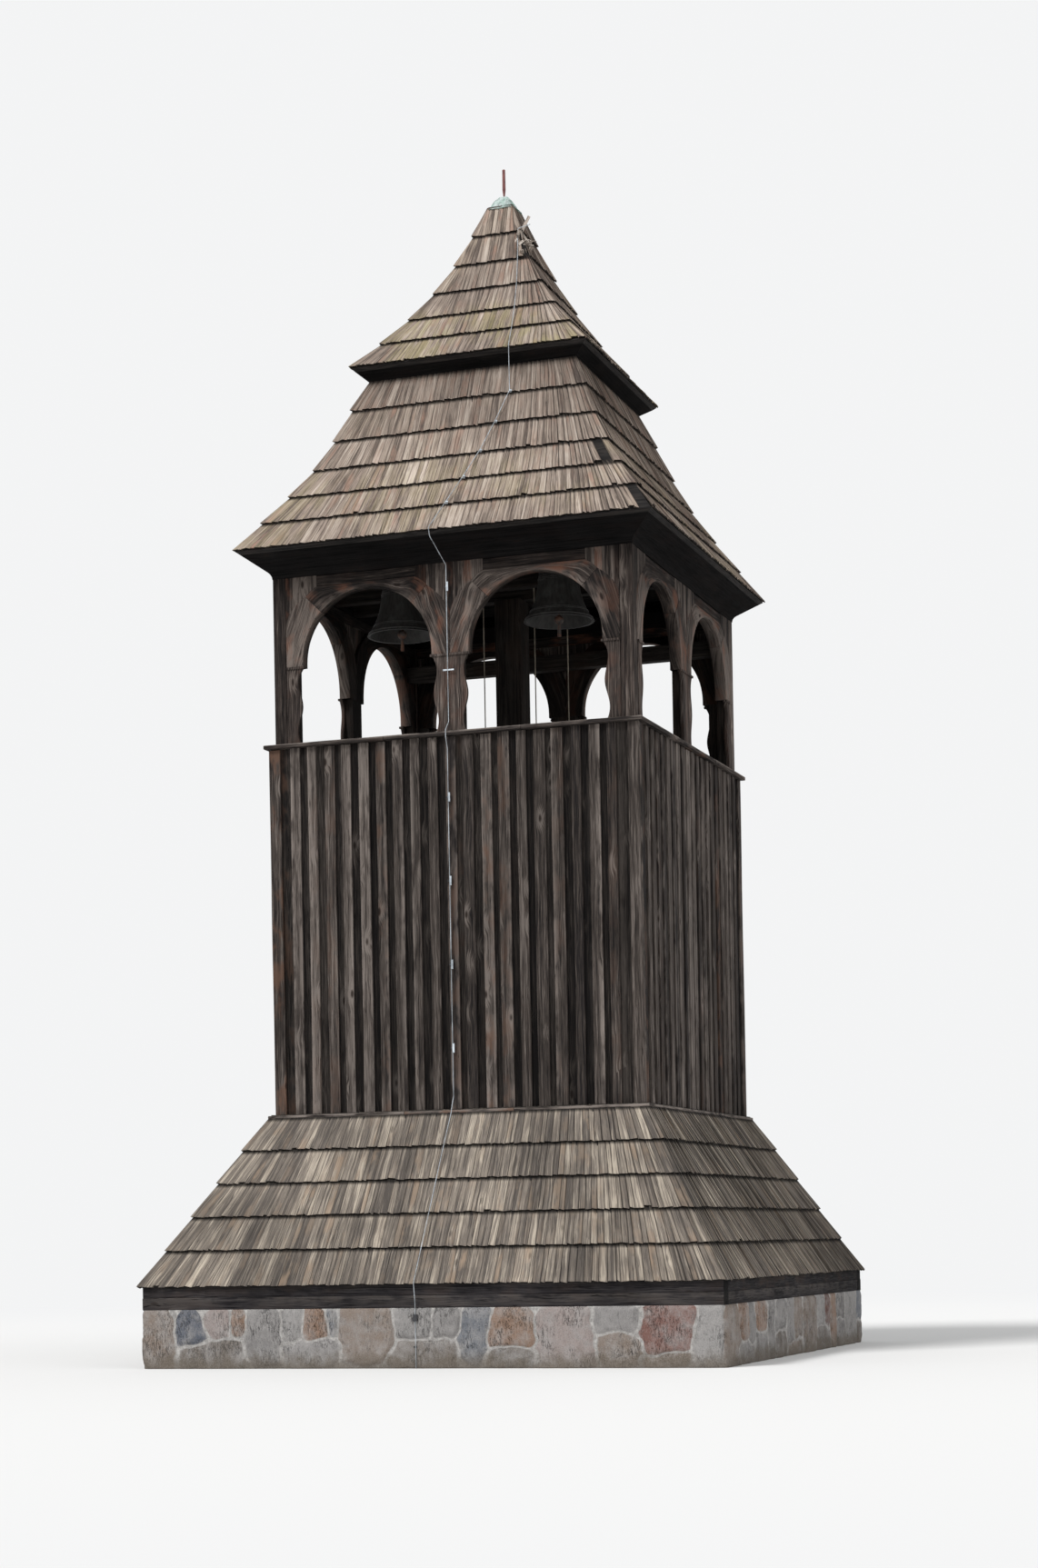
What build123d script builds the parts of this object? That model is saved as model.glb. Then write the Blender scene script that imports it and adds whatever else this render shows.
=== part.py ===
from build123d import *
from math import acos, atan2, cos, degrees, radians, sin, sqrt, tan
import os

"""Timber bell tower on a fieldstone plinth, in millimetres.

The origin is the middle of the plinth at ground level, +Z is up, the front
faces -Y and the right side faces +X. Each of the four sides is drawn once as
the front and turned about Z. An outline of a ring around the tower is drawn in
(distance out from the middle, height).
"""

# Plinth and sill
PLINTH_HALF = 3600.0
PLINTH_HEIGHT = 700.0
PLINTH_WALL = 600.0
SILL_INSET = 10.0
SILL_BEAM_HEIGHT = 145.0
SILL_BEAM_DEPTH = 200.0

# Skirt roof between the sill and the shaft
SKIRT_HEIGHT = 2000.0
SKIRT_HEAD_PROUD = 65.0
SKIRT_COURSES = 5
SKIRT_DROP = 32.0

# Shaft, clad board on board
SHAFT_HALF = 2360.0
SHAFT_HEIGHT = 4480.0
SHAFT_SHEATHING = 84.0
BOARD_THICKNESS = 28.0
BOARDS_PER_SIDE = 21
OUTER_BOARD_SHARE = 0.56
LOWER_LEDGE_PROUD = 70.0
LOWER_LEDGE_THICKNESS = 40.0
UPPER_LEDGE_PROUD = 52.0
UPPER_LEDGE_THICKNESS = 50.0
FLOOR_THICKNESS = 60.0

# Belfry arcade
BELFRY_INSET = 60.0
BELFRY_HEIGHT = 2040.0
CORNER_POST = 170.0
CORNER_JAMB = 215.0
MIDDLE_JAMB = 470.0
MIDDLE_POST = 300.0
JAMB_BACK = 135.0
ARCADE_DEPTH = 150.0
JAMB_BOARD = 45.0
ARCH_CROWN_DROP = 200.0
ARCH_HEADER_RISE = 70.0
ARCH_STILT = 54.0
IMPOST_HEIGHT = 26.0
IMPOST_PROUD = 14.0
JOINT_GAP = 0.3

# Main roof over the belfry
MAIN_OVERHANG = 340.0
MAIN_EAVE_RISE = 300.0
MAIN_TOP_HALF = 1343.0
MAIN_ROOF_HEIGHT = 2280.0
MAIN_EAVE_SLOPE = 54.2
MAIN_TOP_SLOPE = 67.0
MAIN_BLEND = 420.0
MAIN_COURSES = 6
SHINGLE_BUTT = 30.0
ROOF_DECK = 60.0
COVE_RADIUS = 105.0
SOFFIT_BOARD = 25.0

# Upper roof and its finial
UPPER_OVERHANG = 187.0
UPPER_EAVE_RISE = 140.0
UPPER_TOP_HALF = 160.0
UPPER_ROOF_HEIGHT = 2280.0
UPPER_EAVE_SLOPE = 48.5
UPPER_TOP_SLOPE = 70.0
UPPER_BLEND = 1000.0
UPPER_COURSES = 6
CAP_TOP_HALF = 58.0
CAP_HEIGHT = 150.0
SPIKE_RADIUS = 21.0
SPIKE_HEIGHT = 370.0

# Bells and their frame
BELL_DIAMETER = 870.0
BELL_HEIGHT = 700.0
BELL_STEM = 50.0
BELL_X = 1030.0
BELL_Y = -1210.0
SOUND_BOW = 62.0
BELL_WALL = 30.0
AXLE_RISE = 50.0
AXLE_DIAMETER = 40.0
AXLE_CLEARANCE = 0.5
YOKE_LENGTH = 880.0
YOKE_WIDTH = 170.0
YOKE_HEIGHT = 180.0
BEAM_SPREAD = 550.0
BEAM_WIDTH = 150.0
BEAM_HEIGHT = 200.0
BEARING = 110.0
FRAME_POST = 340.0
TIE_BEAM_INSET = 250.0
TIE_BEAM_DROP = 520.0
CLAPPER_PIVOT_DROP = 140.0
CLAPPER_BALL_RISE = 20.0
CLAPPER_TIP_DROP = 180.0
CLAPPER_BALL = 58.0
CLAPPER_ROD = 16.0
ROPE_DIAMETER = 16.0
ROPE_XS = (-165.0, 510.0, 940.0)
ROPE_Y = -610.0

# Lightning conductor down the front
WIRE_DIAMETER = 10.0
WIRE_BEND = 18.0
WIRE_STANDOFF = 26.0
HOLDER_SPACING = 1000.0
WIRE_TIP_X = 460.0
WIRE_TIP_Y = -350.0
WIRE_TIP_DROP = 360.0
HEADER_CLIP_DROP = 300.0
IMPOST_CLIP_DROP = 180.0
PLINTH_CLIP_Z = 250.0
WIRE_APEX_X = 300.0
WIRE_UPPER_EAVE_X = 565.0
WIRE_MAIN_EAVE_X = -100.0
WIRE_WALL_X = -20.0
WIRE_SKIRT_EAVE_X = -80.0
CLAMP_Z = 585.0
CLAMP_HEIGHT = 76.0

SIDES = {"front": 0, "right": 90, "rear": 180, "left": 270}
REACH = 2 * PLINTH_HALF

# Derived sizes
sill_half = PLINTH_HALF - SILL_INSET
sill_top = PLINTH_HEIGHT + 2 * SILL_BEAM_HEIGHT
skirt_top_half = SHAFT_HALF + SKIRT_HEAD_PROUD
skirt_top_z = sill_top + SKIRT_HEIGHT
lower_ledge_half = SHAFT_HALF + LOWER_LEDGE_PROUD
shaft_bottom = skirt_top_z + LOWER_LEDGE_THICKNESS
shaft_top = shaft_bottom + SHAFT_HEIGHT
upper_ledge_half = SHAFT_HALF + UPPER_LEDGE_PROUD
ledge_top = shaft_top + UPPER_LEDGE_THICKNESS
belfry_half = SHAFT_HALF - BELFRY_INSET
belfry_top = ledge_top + BELFRY_HEIGHT
shaft_inner = SHAFT_HALF - BOARD_THICKNESS - SHAFT_SHEATHING
arcade_inner = belfry_half - ARCADE_DEPTH
bay_width = belfry_half - CORNER_POST - CORNER_JAMB - MIDDLE_JAMB / 2
arch_radius = bay_width / 2
bay_centre = MIDDLE_JAMB / 2 + arch_radius
arch_crown_z = belfry_top - ARCH_CROWN_DROP
spring_z = arch_crown_z - arch_radius
field_half = belfry_half - CORNER_POST
arch_base = spring_z - ARCH_STILT
impost_z = arch_base - IMPOST_HEIGHT
beam_z = belfry_top
axle_z = beam_z + BEAM_HEIGHT + AXLE_RISE
bell_crown_z = axle_z - YOKE_HEIGHT / 2 - BELL_STEM
bell_lip_z = bell_crown_z - BELL_HEIGHT
clapper_pivot_z = bell_crown_z - CLAPPER_PIVOT_DROP
clapper_ball_z = bell_lip_z + CLAPPER_BALL_RISE
clapper_tip_z = bell_lip_z - CLAPPER_TIP_DROP
main_eave_half = belfry_half + MAIN_OVERHANG
main_eave_z = belfry_top + MAIN_EAVE_RISE
upper_eave_half = MAIN_TOP_HALF + UPPER_OVERHANG
main_top_z = main_eave_z + MAIN_ROOF_HEIGHT
upper_eave_z = main_top_z + UPPER_EAVE_RISE
upper_top_z = upper_eave_z + UPPER_ROOF_HEIGHT
cap_top = upper_top_z + CAP_HEIGHT


def save(name, shape):
    """Write one piece, or a set of like pieces, as its own file."""
    os.makedirs("parts", exist_ok=True)
    export_step(shape, f"parts/{name}.step")


def block(x0, x1, y0, y1, z0, z1):
    """A squared timber between two corners."""
    size = Box(x1 - x0, y1 - y0, z1 - z0)
    return Pos((x0 + x1) / 2, (y0 + y1) / 2, (z0 + z1) / 2) * size


def turned(pieces, side):
    """The front's pieces turned round to another side."""
    return Compound([Rot(0, 0, SIDES[side]) * piece for piece in pieces])


def all_round(pieces):
    """The front's pieces repeated on all four sides."""
    return Compound([Rot(0, 0, angle) * piece for angle in SIDES.values() for piece in pieces])


def wedge(z0, z1):
    """The quarter of the plan that belongs to the front, up to the hips."""
    edge = Polyline((0, -JOINT_GAP), (-REACH, -REACH - JOINT_GAP), (REACH, -REACH - JOINT_GAP), close=True)
    return Pos(0, 0, z0) * extrude(make_face(edge), amount=z1 - z0)


def mitred(outline, z0=0.0, z1=3 * REACH):
    """The front side of a ring: an upright outline run along the side and mitred at the hips."""
    face = make_face(Plane.YZ * outline)
    return extrude(face, amount=REACH, both=True) & wedge(z0, z1)


def chain(points):
    """A closed outline from (distance out, height) points, drawn on the front."""
    return Polyline([(-p[0], p[1]) for p in points], close=True)


def roof_line(eave, top, eave_slope, top_slope, blend):
    """A bell-cast roof line: two straight stretches with a soft bend between them."""
    eave, top = Vector(*eave), Vector(*top)
    low = Vector(-cos(radians(eave_slope)), sin(radians(eave_slope)))
    high = Vector(-cos(radians(top_slope)), sin(radians(top_slope)))
    span = top - eave
    run = (span.X * high.Y - span.Y * high.X) / (low.X * high.Y - low.Y * high.X)
    knee = eave + low * run
    below = knee - low * min(blend, 0.9 * run)
    above = knee + high * min(blend, 0.9 * (top - knee).length)
    edges = [Line(eave, below), Bezier(below, knee, above), Line(above, top)]
    return Wire([piece.edge() for piece in edges])


def course_marks(line, courses):
    """Where each course of shingles starts on the roof line, and the line's top."""
    return [line @ (i / courses) for i in range(courses + 1)]


def outward(low, high):
    """The unit direction square to a slope, away from the roof."""
    along = (high - low).normalized()
    return Vector(along.Y, -along.X)


def deck_line(marks):
    """The underside of the roof boards, one point for each course mark."""
    points = []
    for i, mark in enumerate(marks):
        before = outward(marks[max(i - 1, 0)], marks[max(i - 1, 0) + 1])
        after = outward(marks[min(i, len(marks) - 2)], marks[min(i, len(marks) - 2) + 1])
        middle = (before + after).normalized()
        points.append(mark - middle * (ROOF_DECK / middle.dot(after)))
    return points


def shingled(marks, drop=0.0):
    """The outline of a roof side: saw-toothed courses over a smooth underside."""
    upper = []
    for low, high in zip(marks, marks[1:]):
        out = outward(low, high)
        upper += [low + out * SHINGLE_BUTT, high]
    first = (marks[1] - marks[0]).normalized()
    tail = marks[0] - first * drop
    upper[0] = tail + outward(marks[0], marks[1]) * SHINGLE_BUTT
    under = deck_line(marks)
    lower = [tail] + ([marks[0]] if drop else []) + under
    return upper + lower[::-1], under


def plinth():
    """Fieldstone footing wall round a hollow middle, one mass of masonry."""
    outer = Box(2 * PLINTH_HALF, 2 * PLINTH_HALF, PLINTH_HEIGHT)
    inner_half = PLINTH_HALF - PLINTH_WALL
    inner = Box(2 * inner_half, 2 * inner_half, PLINTH_HEIGHT)
    return Pos(0, 0, PLINTH_HEIGHT / 2) * (outer - inner)


def sill_ring(z0):
    """Four sill beams, the side ones butted between the front and rear ones."""
    inner = sill_half - SILL_BEAM_DEPTH
    z1 = z0 + SILL_BEAM_HEIGHT
    long_beam = block(-sill_half, sill_half, -sill_half, -inner, z0, z1)
    short_beam = block(inner, sill_half, -inner, inner, z0, z1)
    return Compound([Rot(0, 0, angle) * beam for beam in (long_beam, short_beam) for angle in (0, 180)])


def skirt_marks():
    """Course marks of the straight skirt roof."""
    foot = Vector(PLINTH_HALF, sill_top)
    head = Vector(skirt_top_half, skirt_top_z)
    return [foot + (head - foot) * (i / SKIRT_COURSES) for i in range(SKIRT_COURSES + 1)]


def skirt_side():
    """One side of the skirt roof, seated on the sill and level at its head."""
    marks = skirt_marks()
    outline, under = shingled(marks, SKIRT_DROP)
    slope = (marks[-1] - marks[0]).normalized()
    level_foot = under[0] + slope * ((sill_top - under[0].Y) / slope.Y)
    level_head = under[-1] + slope * ((skirt_top_z - under[-1].Y) / slope.Y)
    outline = [level_head if p == under[-1] else level_foot if p == under[0] else p for p in outline]
    return mitred(chain([(p.X, p.Y) for p in outline]))


def ledge(half, inner, z0, thickness):
    """One side of a thin board ledge, mitred at the corners."""
    return mitred(chain([(inner, z0), (half, z0), (half, z0 + thickness), (inner, z0 + thickness)]))


def board_ribs(half, width, z0, z1):
    """Outer boards that stand proud over the joints of the boards behind."""
    pitch = width / BOARDS_PER_SIDE
    board = pitch * OUTER_BOARD_SHARE
    first = -width / 2 + pitch / 2
    ribs = []
    for i in range(BOARDS_PER_SIDE):
        x = first + i * pitch
        ribs.append(block(x - board / 2, x + board / 2, -half, -half + BOARD_THICKNESS, z0, z1))
    return ribs


def shaft_wall(between_walls):
    """One wall of the shaft: sheathing with outer boards; two walls fit between the others."""
    z0, z1 = shaft_bottom, shaft_top
    back = SHAFT_HALF - BOARD_THICKNESS
    side = shaft_inner if between_walls else back
    wall = block(-side, side, -back, -shaft_inner, z0, z1)
    for rib in board_ribs(SHAFT_HALF, 2 * side, z0, z1):
        wall += rib
    return wall


def corner_posts():
    """Four square corner posts of the belfry."""
    post = block(-belfry_half, -field_half, -belfry_half, -field_half, ledge_top, belfry_top)
    return all_round([post])


def arcade_posts():
    """The straight timbers behind the carved boards of one side, middle and corners."""
    back = belfry_half - JAMB_BOARD
    middle = block(-MIDDLE_POST / 2, MIDDLE_POST / 2, -back, -arcade_inner, ledge_top, arch_base)
    edge = -field_half + JAMB_BACK
    left = block(-field_half, edge, -back, -arcade_inner, ledge_top, arch_base)
    return [left, middle, mirror(left, Plane.YZ)]


def carved_edge(x, inward):
    """The sawn edge of a jamb board: two hollows and a swelling between foot and impost."""
    height = impost_z - ledge_top
    marks = ((0.0, 40.0), (0.22, 75.0), (0.5, 20.0), (0.79, 65.0), (1.0, 8.0))
    return Spline(*[(x + inward * depth, ledge_top + share * height) for share, depth in marks])


def jamb_board(left, right, carve_left, carve_right):
    """A facing board under the impost, carved where it borders an opening."""
    sides = []
    left_edge = carved_edge(left, 1) if carve_left else Line((left, ledge_top), (left, impost_z))
    right_edge = carved_edge(right, -1) if carve_right else Line((right, ledge_top), (right, impost_z))
    sides = [left_edge, Line(left_edge @ 1, right_edge @ 1), right_edge, Line(right_edge @ 0, left_edge @ 0)]
    outline = Wire([side.edge() for side in sides])
    face = make_face(Plane.XZ * outline)
    board = extrude(face, amount=JAMB_BOARD, dir=(0, 1, 0))
    return Pos(0, -belfry_half, 0) * board


def jambs():
    """The three carved boards of one side."""
    left = jamb_board(-field_half, -field_half + CORNER_JAMB, False, True)
    middle = jamb_board(-MIDDLE_JAMB / 2, MIDDLE_JAMB / 2, True, True)
    right = jamb_board(field_half - CORNER_JAMB, field_half, True, False)
    return [left, middle, right]


def imposts():
    """The small ledges on which the arches seem to spring, on one side."""
    y0 = -belfry_half - IMPOST_PROUD
    y1 = -belfry_half + JAMB_BOARD
    z0, z1 = impost_z, arch_base
    ends = MIDDLE_JAMB / 2 + IMPOST_PROUD
    middle = block(-ends, ends, y0, y1, z0, z1)
    left = block(-field_half, -field_half + CORNER_JAMB + IMPOST_PROUD, y0, y1, z0, z1)
    return [left, middle, mirror(left, Plane.YZ)]


def arch_opening(x):
    """The clear shape of one bay above the imposts."""
    drum = Pos(x, -belfry_half, spring_z) * Rot(90, 0, 0) * Cylinder(arch_radius, 4 * ARCADE_DEPTH)
    legs = block(x - arch_radius, x + arch_radius, -belfry_half - ARCADE_DEPTH, -arcade_inner + 10, impost_z, spring_z)
    return drum + legs


def haunch_cut(x, lean):
    """A thin saw cut square to the arch at 45 degrees, from the opening to the outer edge."""
    length = 2.2 * arch_radius
    cut = Box(JOINT_GAP, 3 * ARCADE_DEPTH, length)
    return Pos(x, -belfry_half, spring_z) * Rot(0, lean, 0) * Pos(0, 0, length / 2) * cut


def arch_boards():
    """The curved timbers of one side: crown boards over each bay, haunches and the header above."""
    header_z = arch_crown_z + ARCH_HEADER_RISE
    field = block(-field_half, field_half, -belfry_half, -arcade_inner, arch_base, header_z)
    for x in (-bay_centre, bay_centre):
        field -= arch_opening(x)
    for x in (-bay_centre, bay_centre):
        for lean in (-45, 45):
            field -= haunch_cut(x, lean)
    header = block(-field_half, field_half, -belfry_half, -arcade_inner, header_z, belfry_top)
    return field.solids() + [header]


def cove(start, radius, end, along, thickness):
    """A cove soffit: a quarter-round start on the wall and a straight board out to the roof's edge."""
    centre = Vector(start.X + radius, start.Y)
    reach = end - centre
    turn = atan2(reach.Y, reach.X) + acos(radius / reach.length)
    direction = Vector(cos(turn), sin(turn))
    lower = centre + direction * radius
    upper = centre + direction * (radius + thickness)
    board = (end - lower).normalized()
    normal = Vector(-board.Y, board.X)
    rise = thickness / along.dot(normal)
    lip = end + along * rise
    half_turn = Vector(cos((turn + radians(180)) / 2), sin((turn + radians(180)) / 2))
    return centre, lower, upper, lip, half_turn


def flip(p):
    """A ring point as drawn on the front, where out is -Y."""
    return (-p.X, p.Y)


def main_soffit(marks, under):
    """One side of the cove under the main eave."""
    start = Vector(belfry_half, belfry_top)
    along = (marks[1] - marks[0]).normalized()
    centre, lower, upper, lip, half = cove(start, COVE_RADIUS, under[0], along, SOFFIT_BOARD)
    inner_start = start - Vector(SOFFIT_BOARD, 0)
    arc_low = ThreePointArc(flip(start), flip(centre + half * COVE_RADIUS), flip(lower))
    arc_high = ThreePointArc(flip(upper), flip(centre + half * (COVE_RADIUS + SOFFIT_BOARD)), flip(inner_start))
    edges = [
        arc_low,
        Line(flip(lower), flip(under[0])),
        Line(flip(under[0]), flip(lip)),
        Line(flip(lip), flip(upper)),
        arc_high,
        Line(flip(inner_start), flip(start)),
    ]
    return mitred(Wire([e.edge() for e in edges])), lip, upper, arc_high, inner_start


def eave_beam(marks, under, lip, upper, arc_high, inner_start):
    """One side of the heavy eave timber that carries the roof over the cove."""
    along = (marks[1] - marks[0]).normalized()
    head = lip + along * 170.0
    back_low = Vector(arcade_inner, belfry_top)
    back_high = Vector(arcade_inner, belfry_top + BEAM_HEIGHT)
    edges = [
        arc_high,
        Line(flip(inner_start), flip(back_low)),
        Line(flip(back_low), flip(back_high)),
        Line(flip(back_high), flip(head)),
        Line(flip(head), flip(lip)),
        Line(flip(lip), flip(upper)),
    ]
    return mitred(Wire([e.edge() for e in edges]))


def upper_soffit(main_marks, upper_marks, upper_under):
    """One side of the board soffit under the upper eave."""
    foot = main_marks[-1]
    along = (upper_marks[1] - upper_marks[0]).normalized()
    board = (upper_under[0] - foot).normalized()
    normal = Vector(-board.Y, board.X)
    lip = upper_under[0] + along * (SOFFIT_BOARD / along.dot(normal))
    head = foot + Vector(0, SOFFIT_BOARD / board.X)
    return mitred(chain([(p.X, p.Y) for p in (foot, upper_under[0], lip, head)])), lip, head


def upper_eave_beam(main_marks, main_under, upper_marks, lip, head):
    """One side of the timber that stands on the main roof's head and carries the upper roof."""
    along = (upper_marks[1] - upper_marks[0]).normalized()
    top = lip + along * 110.0
    back = main_under[-1]
    points = [main_marks[-1], head, lip, top, Vector(back.X - 60.0, top.Y), Vector(back.X - 60.0, back.Y), back]
    return mitred(chain([(p.X, p.Y) for p in points]))


def roof_cap():
    """Copper cap: a small square hood, its faces drawn in towards the spike."""
    base = Pos(0, 0, upper_top_z) * Rectangle(2 * UPPER_TOP_HALF, 2 * UPPER_TOP_HALF)
    waist = Pos(0, 0, upper_top_z + 0.55 * CAP_HEIGHT) * Rectangle(2 * UPPER_TOP_HALF - 70, 2 * UPPER_TOP_HALF - 70)
    crown = Pos(0, 0, cap_top) * Rectangle(2 * CAP_TOP_HALF, 2 * CAP_TOP_HALF)
    hood = loft([base.face(), waist.face(), crown.face()], ruled=True)
    return chamfer(hood.edges().filter_by(Plane.XY, reverse=True), 8)


def finial_spike():
    """Iron spike with a thin neck where it leaves the cap."""
    r = SPIKE_RADIUS
    z0, z1 = cap_top, cap_top + SPIKE_HEIGHT
    outline = Polyline((0, z0), (0.6 * r, z0), (0.45 * r, z0 + 12), (r, z0 + 105), (0.9 * r, z1 - 10), (0, z1), close=True)
    return revolve(make_face(Plane.XZ * outline), Axis.Z)


def bell_at_origin():
    """Bronze bell, lip at z = 0, hollow, with a thick sound bow and a flat crown."""
    r, h = BELL_DIAMETER / 2, BELL_HEIGHT
    outer = Spline((r, 0), (0.86 * r, 0.13 * h), (0.68 * r, 0.38 * h), (0.58 * r, 0.68 * h), (0.54 * r, 0.86 * h))
    shoulder = Line((0.54 * r, 0.86 * h), (0.36 * r, 0.97 * h))
    crown = Line((0.36 * r, 0.97 * h), (0, h))
    ceiling = Line((0, h), (0, 0.88 * h))
    inside_top = Line((0, 0.88 * h), (0.40 * r, 0.86 * h))
    inner = Spline(
        (0.40 * r, 0.86 * h),
        (0.58 * r - BELL_WALL, 0.68 * h),
        (0.68 * r - BELL_WALL, 0.38 * h),
        (r - SOUND_BOW - 20, 0.13 * h),
        (r - 0.55 * SOUND_BOW, 0),
    )
    lip = Line((r - 0.55 * SOUND_BOW, 0), (r, 0))
    outline = Wire([e.edge() for e in (outer, shoulder, crown, ceiling, inside_top, inner, lip)])
    return revolve(make_face(Plane.XZ * outline), Axis.Z)


def bell(x):
    """A bell hung under its yoke, with the lug that carries the clapper."""
    body = Pos(x, BELL_Y, bell_lip_z) * bell_at_origin()
    stem = Pos(x, BELL_Y, 0) * block(-60, 60, -60, 60, bell_crown_z - 10, axle_z - YOKE_HEIGHT / 2)
    ceiling_z = bell_lip_z + 0.87 * BELL_HEIGHT
    cheek = block(-22, 22, 22, 40, clapper_pivot_z - 28, ceiling_z + 12)
    cheeks = cheek + mirror(cheek, Plane.XZ)
    pin = Pos(0, 0, clapper_pivot_z) * Rot(90, 0, 0) * Cylinder(8, 70)
    return body + stem + Pos(x, BELL_Y, 0) * (cheeks + pin)


def yoke(x):
    """Timber headstock with an iron axle that runs in the bearings."""
    y0, y1 = BELL_Y - YOKE_LENGTH / 2, BELL_Y + YOKE_LENGTH / 2
    z0, z1 = axle_z - YOKE_HEIGHT / 2, axle_z + YOKE_HEIGHT / 2
    stock = block(x - YOKE_WIDTH / 2, x + YOKE_WIDTH / 2, y0, y1, z0, z1)
    stock = fillet(stock.edges().filter_by(Axis.Y), 22)
    length = 2 * (BEAM_SPREAD + BEARING / 2)
    axle = Pos(x, BELL_Y, axle_z) * Rot(90, 0, 0) * Cylinder(AXLE_DIAMETER / 2, length)
    return stock + axle


def clapper(x):
    """Iron clapper: an eye on the bell's pin, a rod, a ball and a tapered flight."""
    eye = Rot(90, 0, 0) * (Cylinder(24, 34) - Cylinder(9, 34))
    length = clapper_pivot_z - clapper_ball_z
    rod = Pos(0, 0, -length / 2 - 10) * Cylinder(CLAPPER_ROD, length - 20)
    ball = Pos(0, 0, -length) * Sphere(CLAPPER_BALL)
    flight_length = clapper_ball_z - clapper_tip_z
    flight = Pos(0, 0, -length - flight_length / 2) * Cone(24, 17, flight_length)
    return Pos(x, BELL_Y, clapper_pivot_z) * (eye + rod + ball + flight)


def bell_frame():
    """Beams across the tower for the bells, the middle post with its beam, and the rear tie beam."""
    z0, z1 = beam_z, beam_z + BEAM_HEIGHT
    beams = []
    for y in (BELL_Y - BEAM_SPREAD, BELL_Y + BEAM_SPREAD, 0.0):
        beams.append(block(-arcade_inner, arcade_inner, y - BEAM_WIDTH / 2, y + BEAM_WIDTH / 2, z0, z1))
    p = FRAME_POST / 2
    post = block(-p, p, -p, p, shaft_top, beam_z)
    w = BEAM_WIDTH / 2
    tie_y = arcade_inner - TIE_BEAM_INSET
    tie_z = beam_z - TIE_BEAM_DROP
    tie = block(-arcade_inner, arcade_inner, tie_y - w, tie_y + w, tie_z, tie_z + BEAM_HEIGHT)
    return Compound(beams + [post, tie])


def bearings():
    """Four bearing blocks on the beams, bored for the axles."""
    blocks = []
    z0, z1 = beam_z + BEAM_HEIGHT, axle_z + 45.0
    for x in (-BELL_X, BELL_X):
        for y in (BELL_Y - BEAM_SPREAD, BELL_Y + BEAM_SPREAD):
            b = BEARING / 2
            solid = block(x - b, x + b, y - b, y + b, z0, z1)
            bore = Pos(x, y, axle_z) * Rot(90, 0, 0) * Cylinder(AXLE_DIAMETER / 2 + AXLE_CLEARANCE, 2 * BEARING)
            blocks.append(solid - bore)
    return Compound(blocks)


def bell_ropes():
    """Three straight pulls from the rear bell beam down to the belfry floor."""
    ropes = []
    for x in ROPE_XS:
        length = beam_z - shaft_top
        ropes.append(Pos(x, ROPE_Y, shaft_top + length / 2) * Cylinder(ROPE_DIAMETER / 2, length))
    return Compound(ropes)


def wire_route(upper_marks, main_marks):
    """Corner points of the conductor, from the air rod by the apex to the ground."""
    off = WIRE_STANDOFF
    points = [(WIRE_TIP_X, WIRE_TIP_Y, upper_top_z - WIRE_TIP_DROP)]
    low = [(i, m) for i, m in enumerate(upper_marks)][5::-1]
    for i, mark in low:
        out = outward(upper_marks[min(i, 5)], upper_marks[min(i, 5) + 1])
        share = (5 - i) / 5
        x = WIRE_APEX_X + (WIRE_UPPER_EAVE_X - WIRE_APEX_X) * share
        tip = mark + out * (SHINGLE_BUTT + off)
        points.append((x, -tip.X, tip.Y))
    for i in range(5, -1, -1):
        mark = main_marks[i]
        out = outward(main_marks[i], main_marks[i + 1])
        share = (5 - i) / 5
        x = WIRE_UPPER_EAVE_X + (WIRE_MAIN_EAVE_X - WIRE_UPPER_EAVE_X) * share
        tip = mark + out * (SHINGLE_BUTT + off)
        points.append((x, -tip.X, tip.Y))
    wall = belfry_half + off
    points.append((WIRE_MAIN_EAVE_X, -main_eave_half - 10.0, main_eave_z - 60.0))
    points.append((WIRE_WALL_X, -wall, belfry_top - 40.0))
    points.append((WIRE_WALL_X, -wall, ledge_top + 120.0))
    points.append((WIRE_WALL_X, -upper_ledge_half - off, ledge_top + 10.0))
    points.append((WIRE_WALL_X, -upper_ledge_half - off, shaft_top - 30.0))
    points.append((WIRE_WALL_X, -SHAFT_HALF - off, shaft_top - 160.0))
    points.append((WIRE_WALL_X, -SHAFT_HALF - off, shaft_bottom + 160.0))
    points.append((WIRE_WALL_X, -lower_ledge_half - off, shaft_bottom + 30.0))
    skirt = skirt_marks()
    out = outward(skirt[0], skirt[1])
    head = skirt[-2] + out * (SHINGLE_BUTT + off)
    foot = skirt[0] + out * (SHINGLE_BUTT + off) - (skirt[1] - skirt[0]).normalized() * SKIRT_DROP
    points.append((WIRE_WALL_X, -lower_ledge_half - off - 20.0, skirt_top_z + 10.0))
    points.append((WIRE_WALL_X - 12.0, -head.X, head.Y))
    points.append((WIRE_SKIRT_EAVE_X, -foot.X, foot.Y))
    points.append((WIRE_SKIRT_EAVE_X, -PLINTH_HALF - off, PLINTH_HEIGHT + 60.0))
    points.append((WIRE_SKIRT_EAVE_X, -PLINTH_HALF - off, 5.0))
    return points


def bent_path(points, bend):
    """Straight runs with a short soft bend at each corner."""
    points = [Vector(*p) for p in points]
    edges, start = [], points[0]
    for corner, after in zip(points[1:-1], points[2:]):
        reach = min(bend, 0.4 * (corner - start).length, 0.4 * (after - corner).length)
        low = corner - (corner - start).normalized() * reach
        high = corner + (after - corner).normalized() * reach
        edges += [Line(start, low), Bezier(low, corner, high)]
        start = high
    edges.append(Line(start, points[-1]))
    return Wire([piece.edge() for piece in edges])


def conductor(points):
    """The round wire, swept along its route."""
    path = bent_path(points, WIRE_BEND)
    start = Plane(origin=path @ 0, z_dir=path % 0)
    profile = start * Circle(WIRE_DIAMETER / 2)
    return sweep(profile, path=path)


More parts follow.
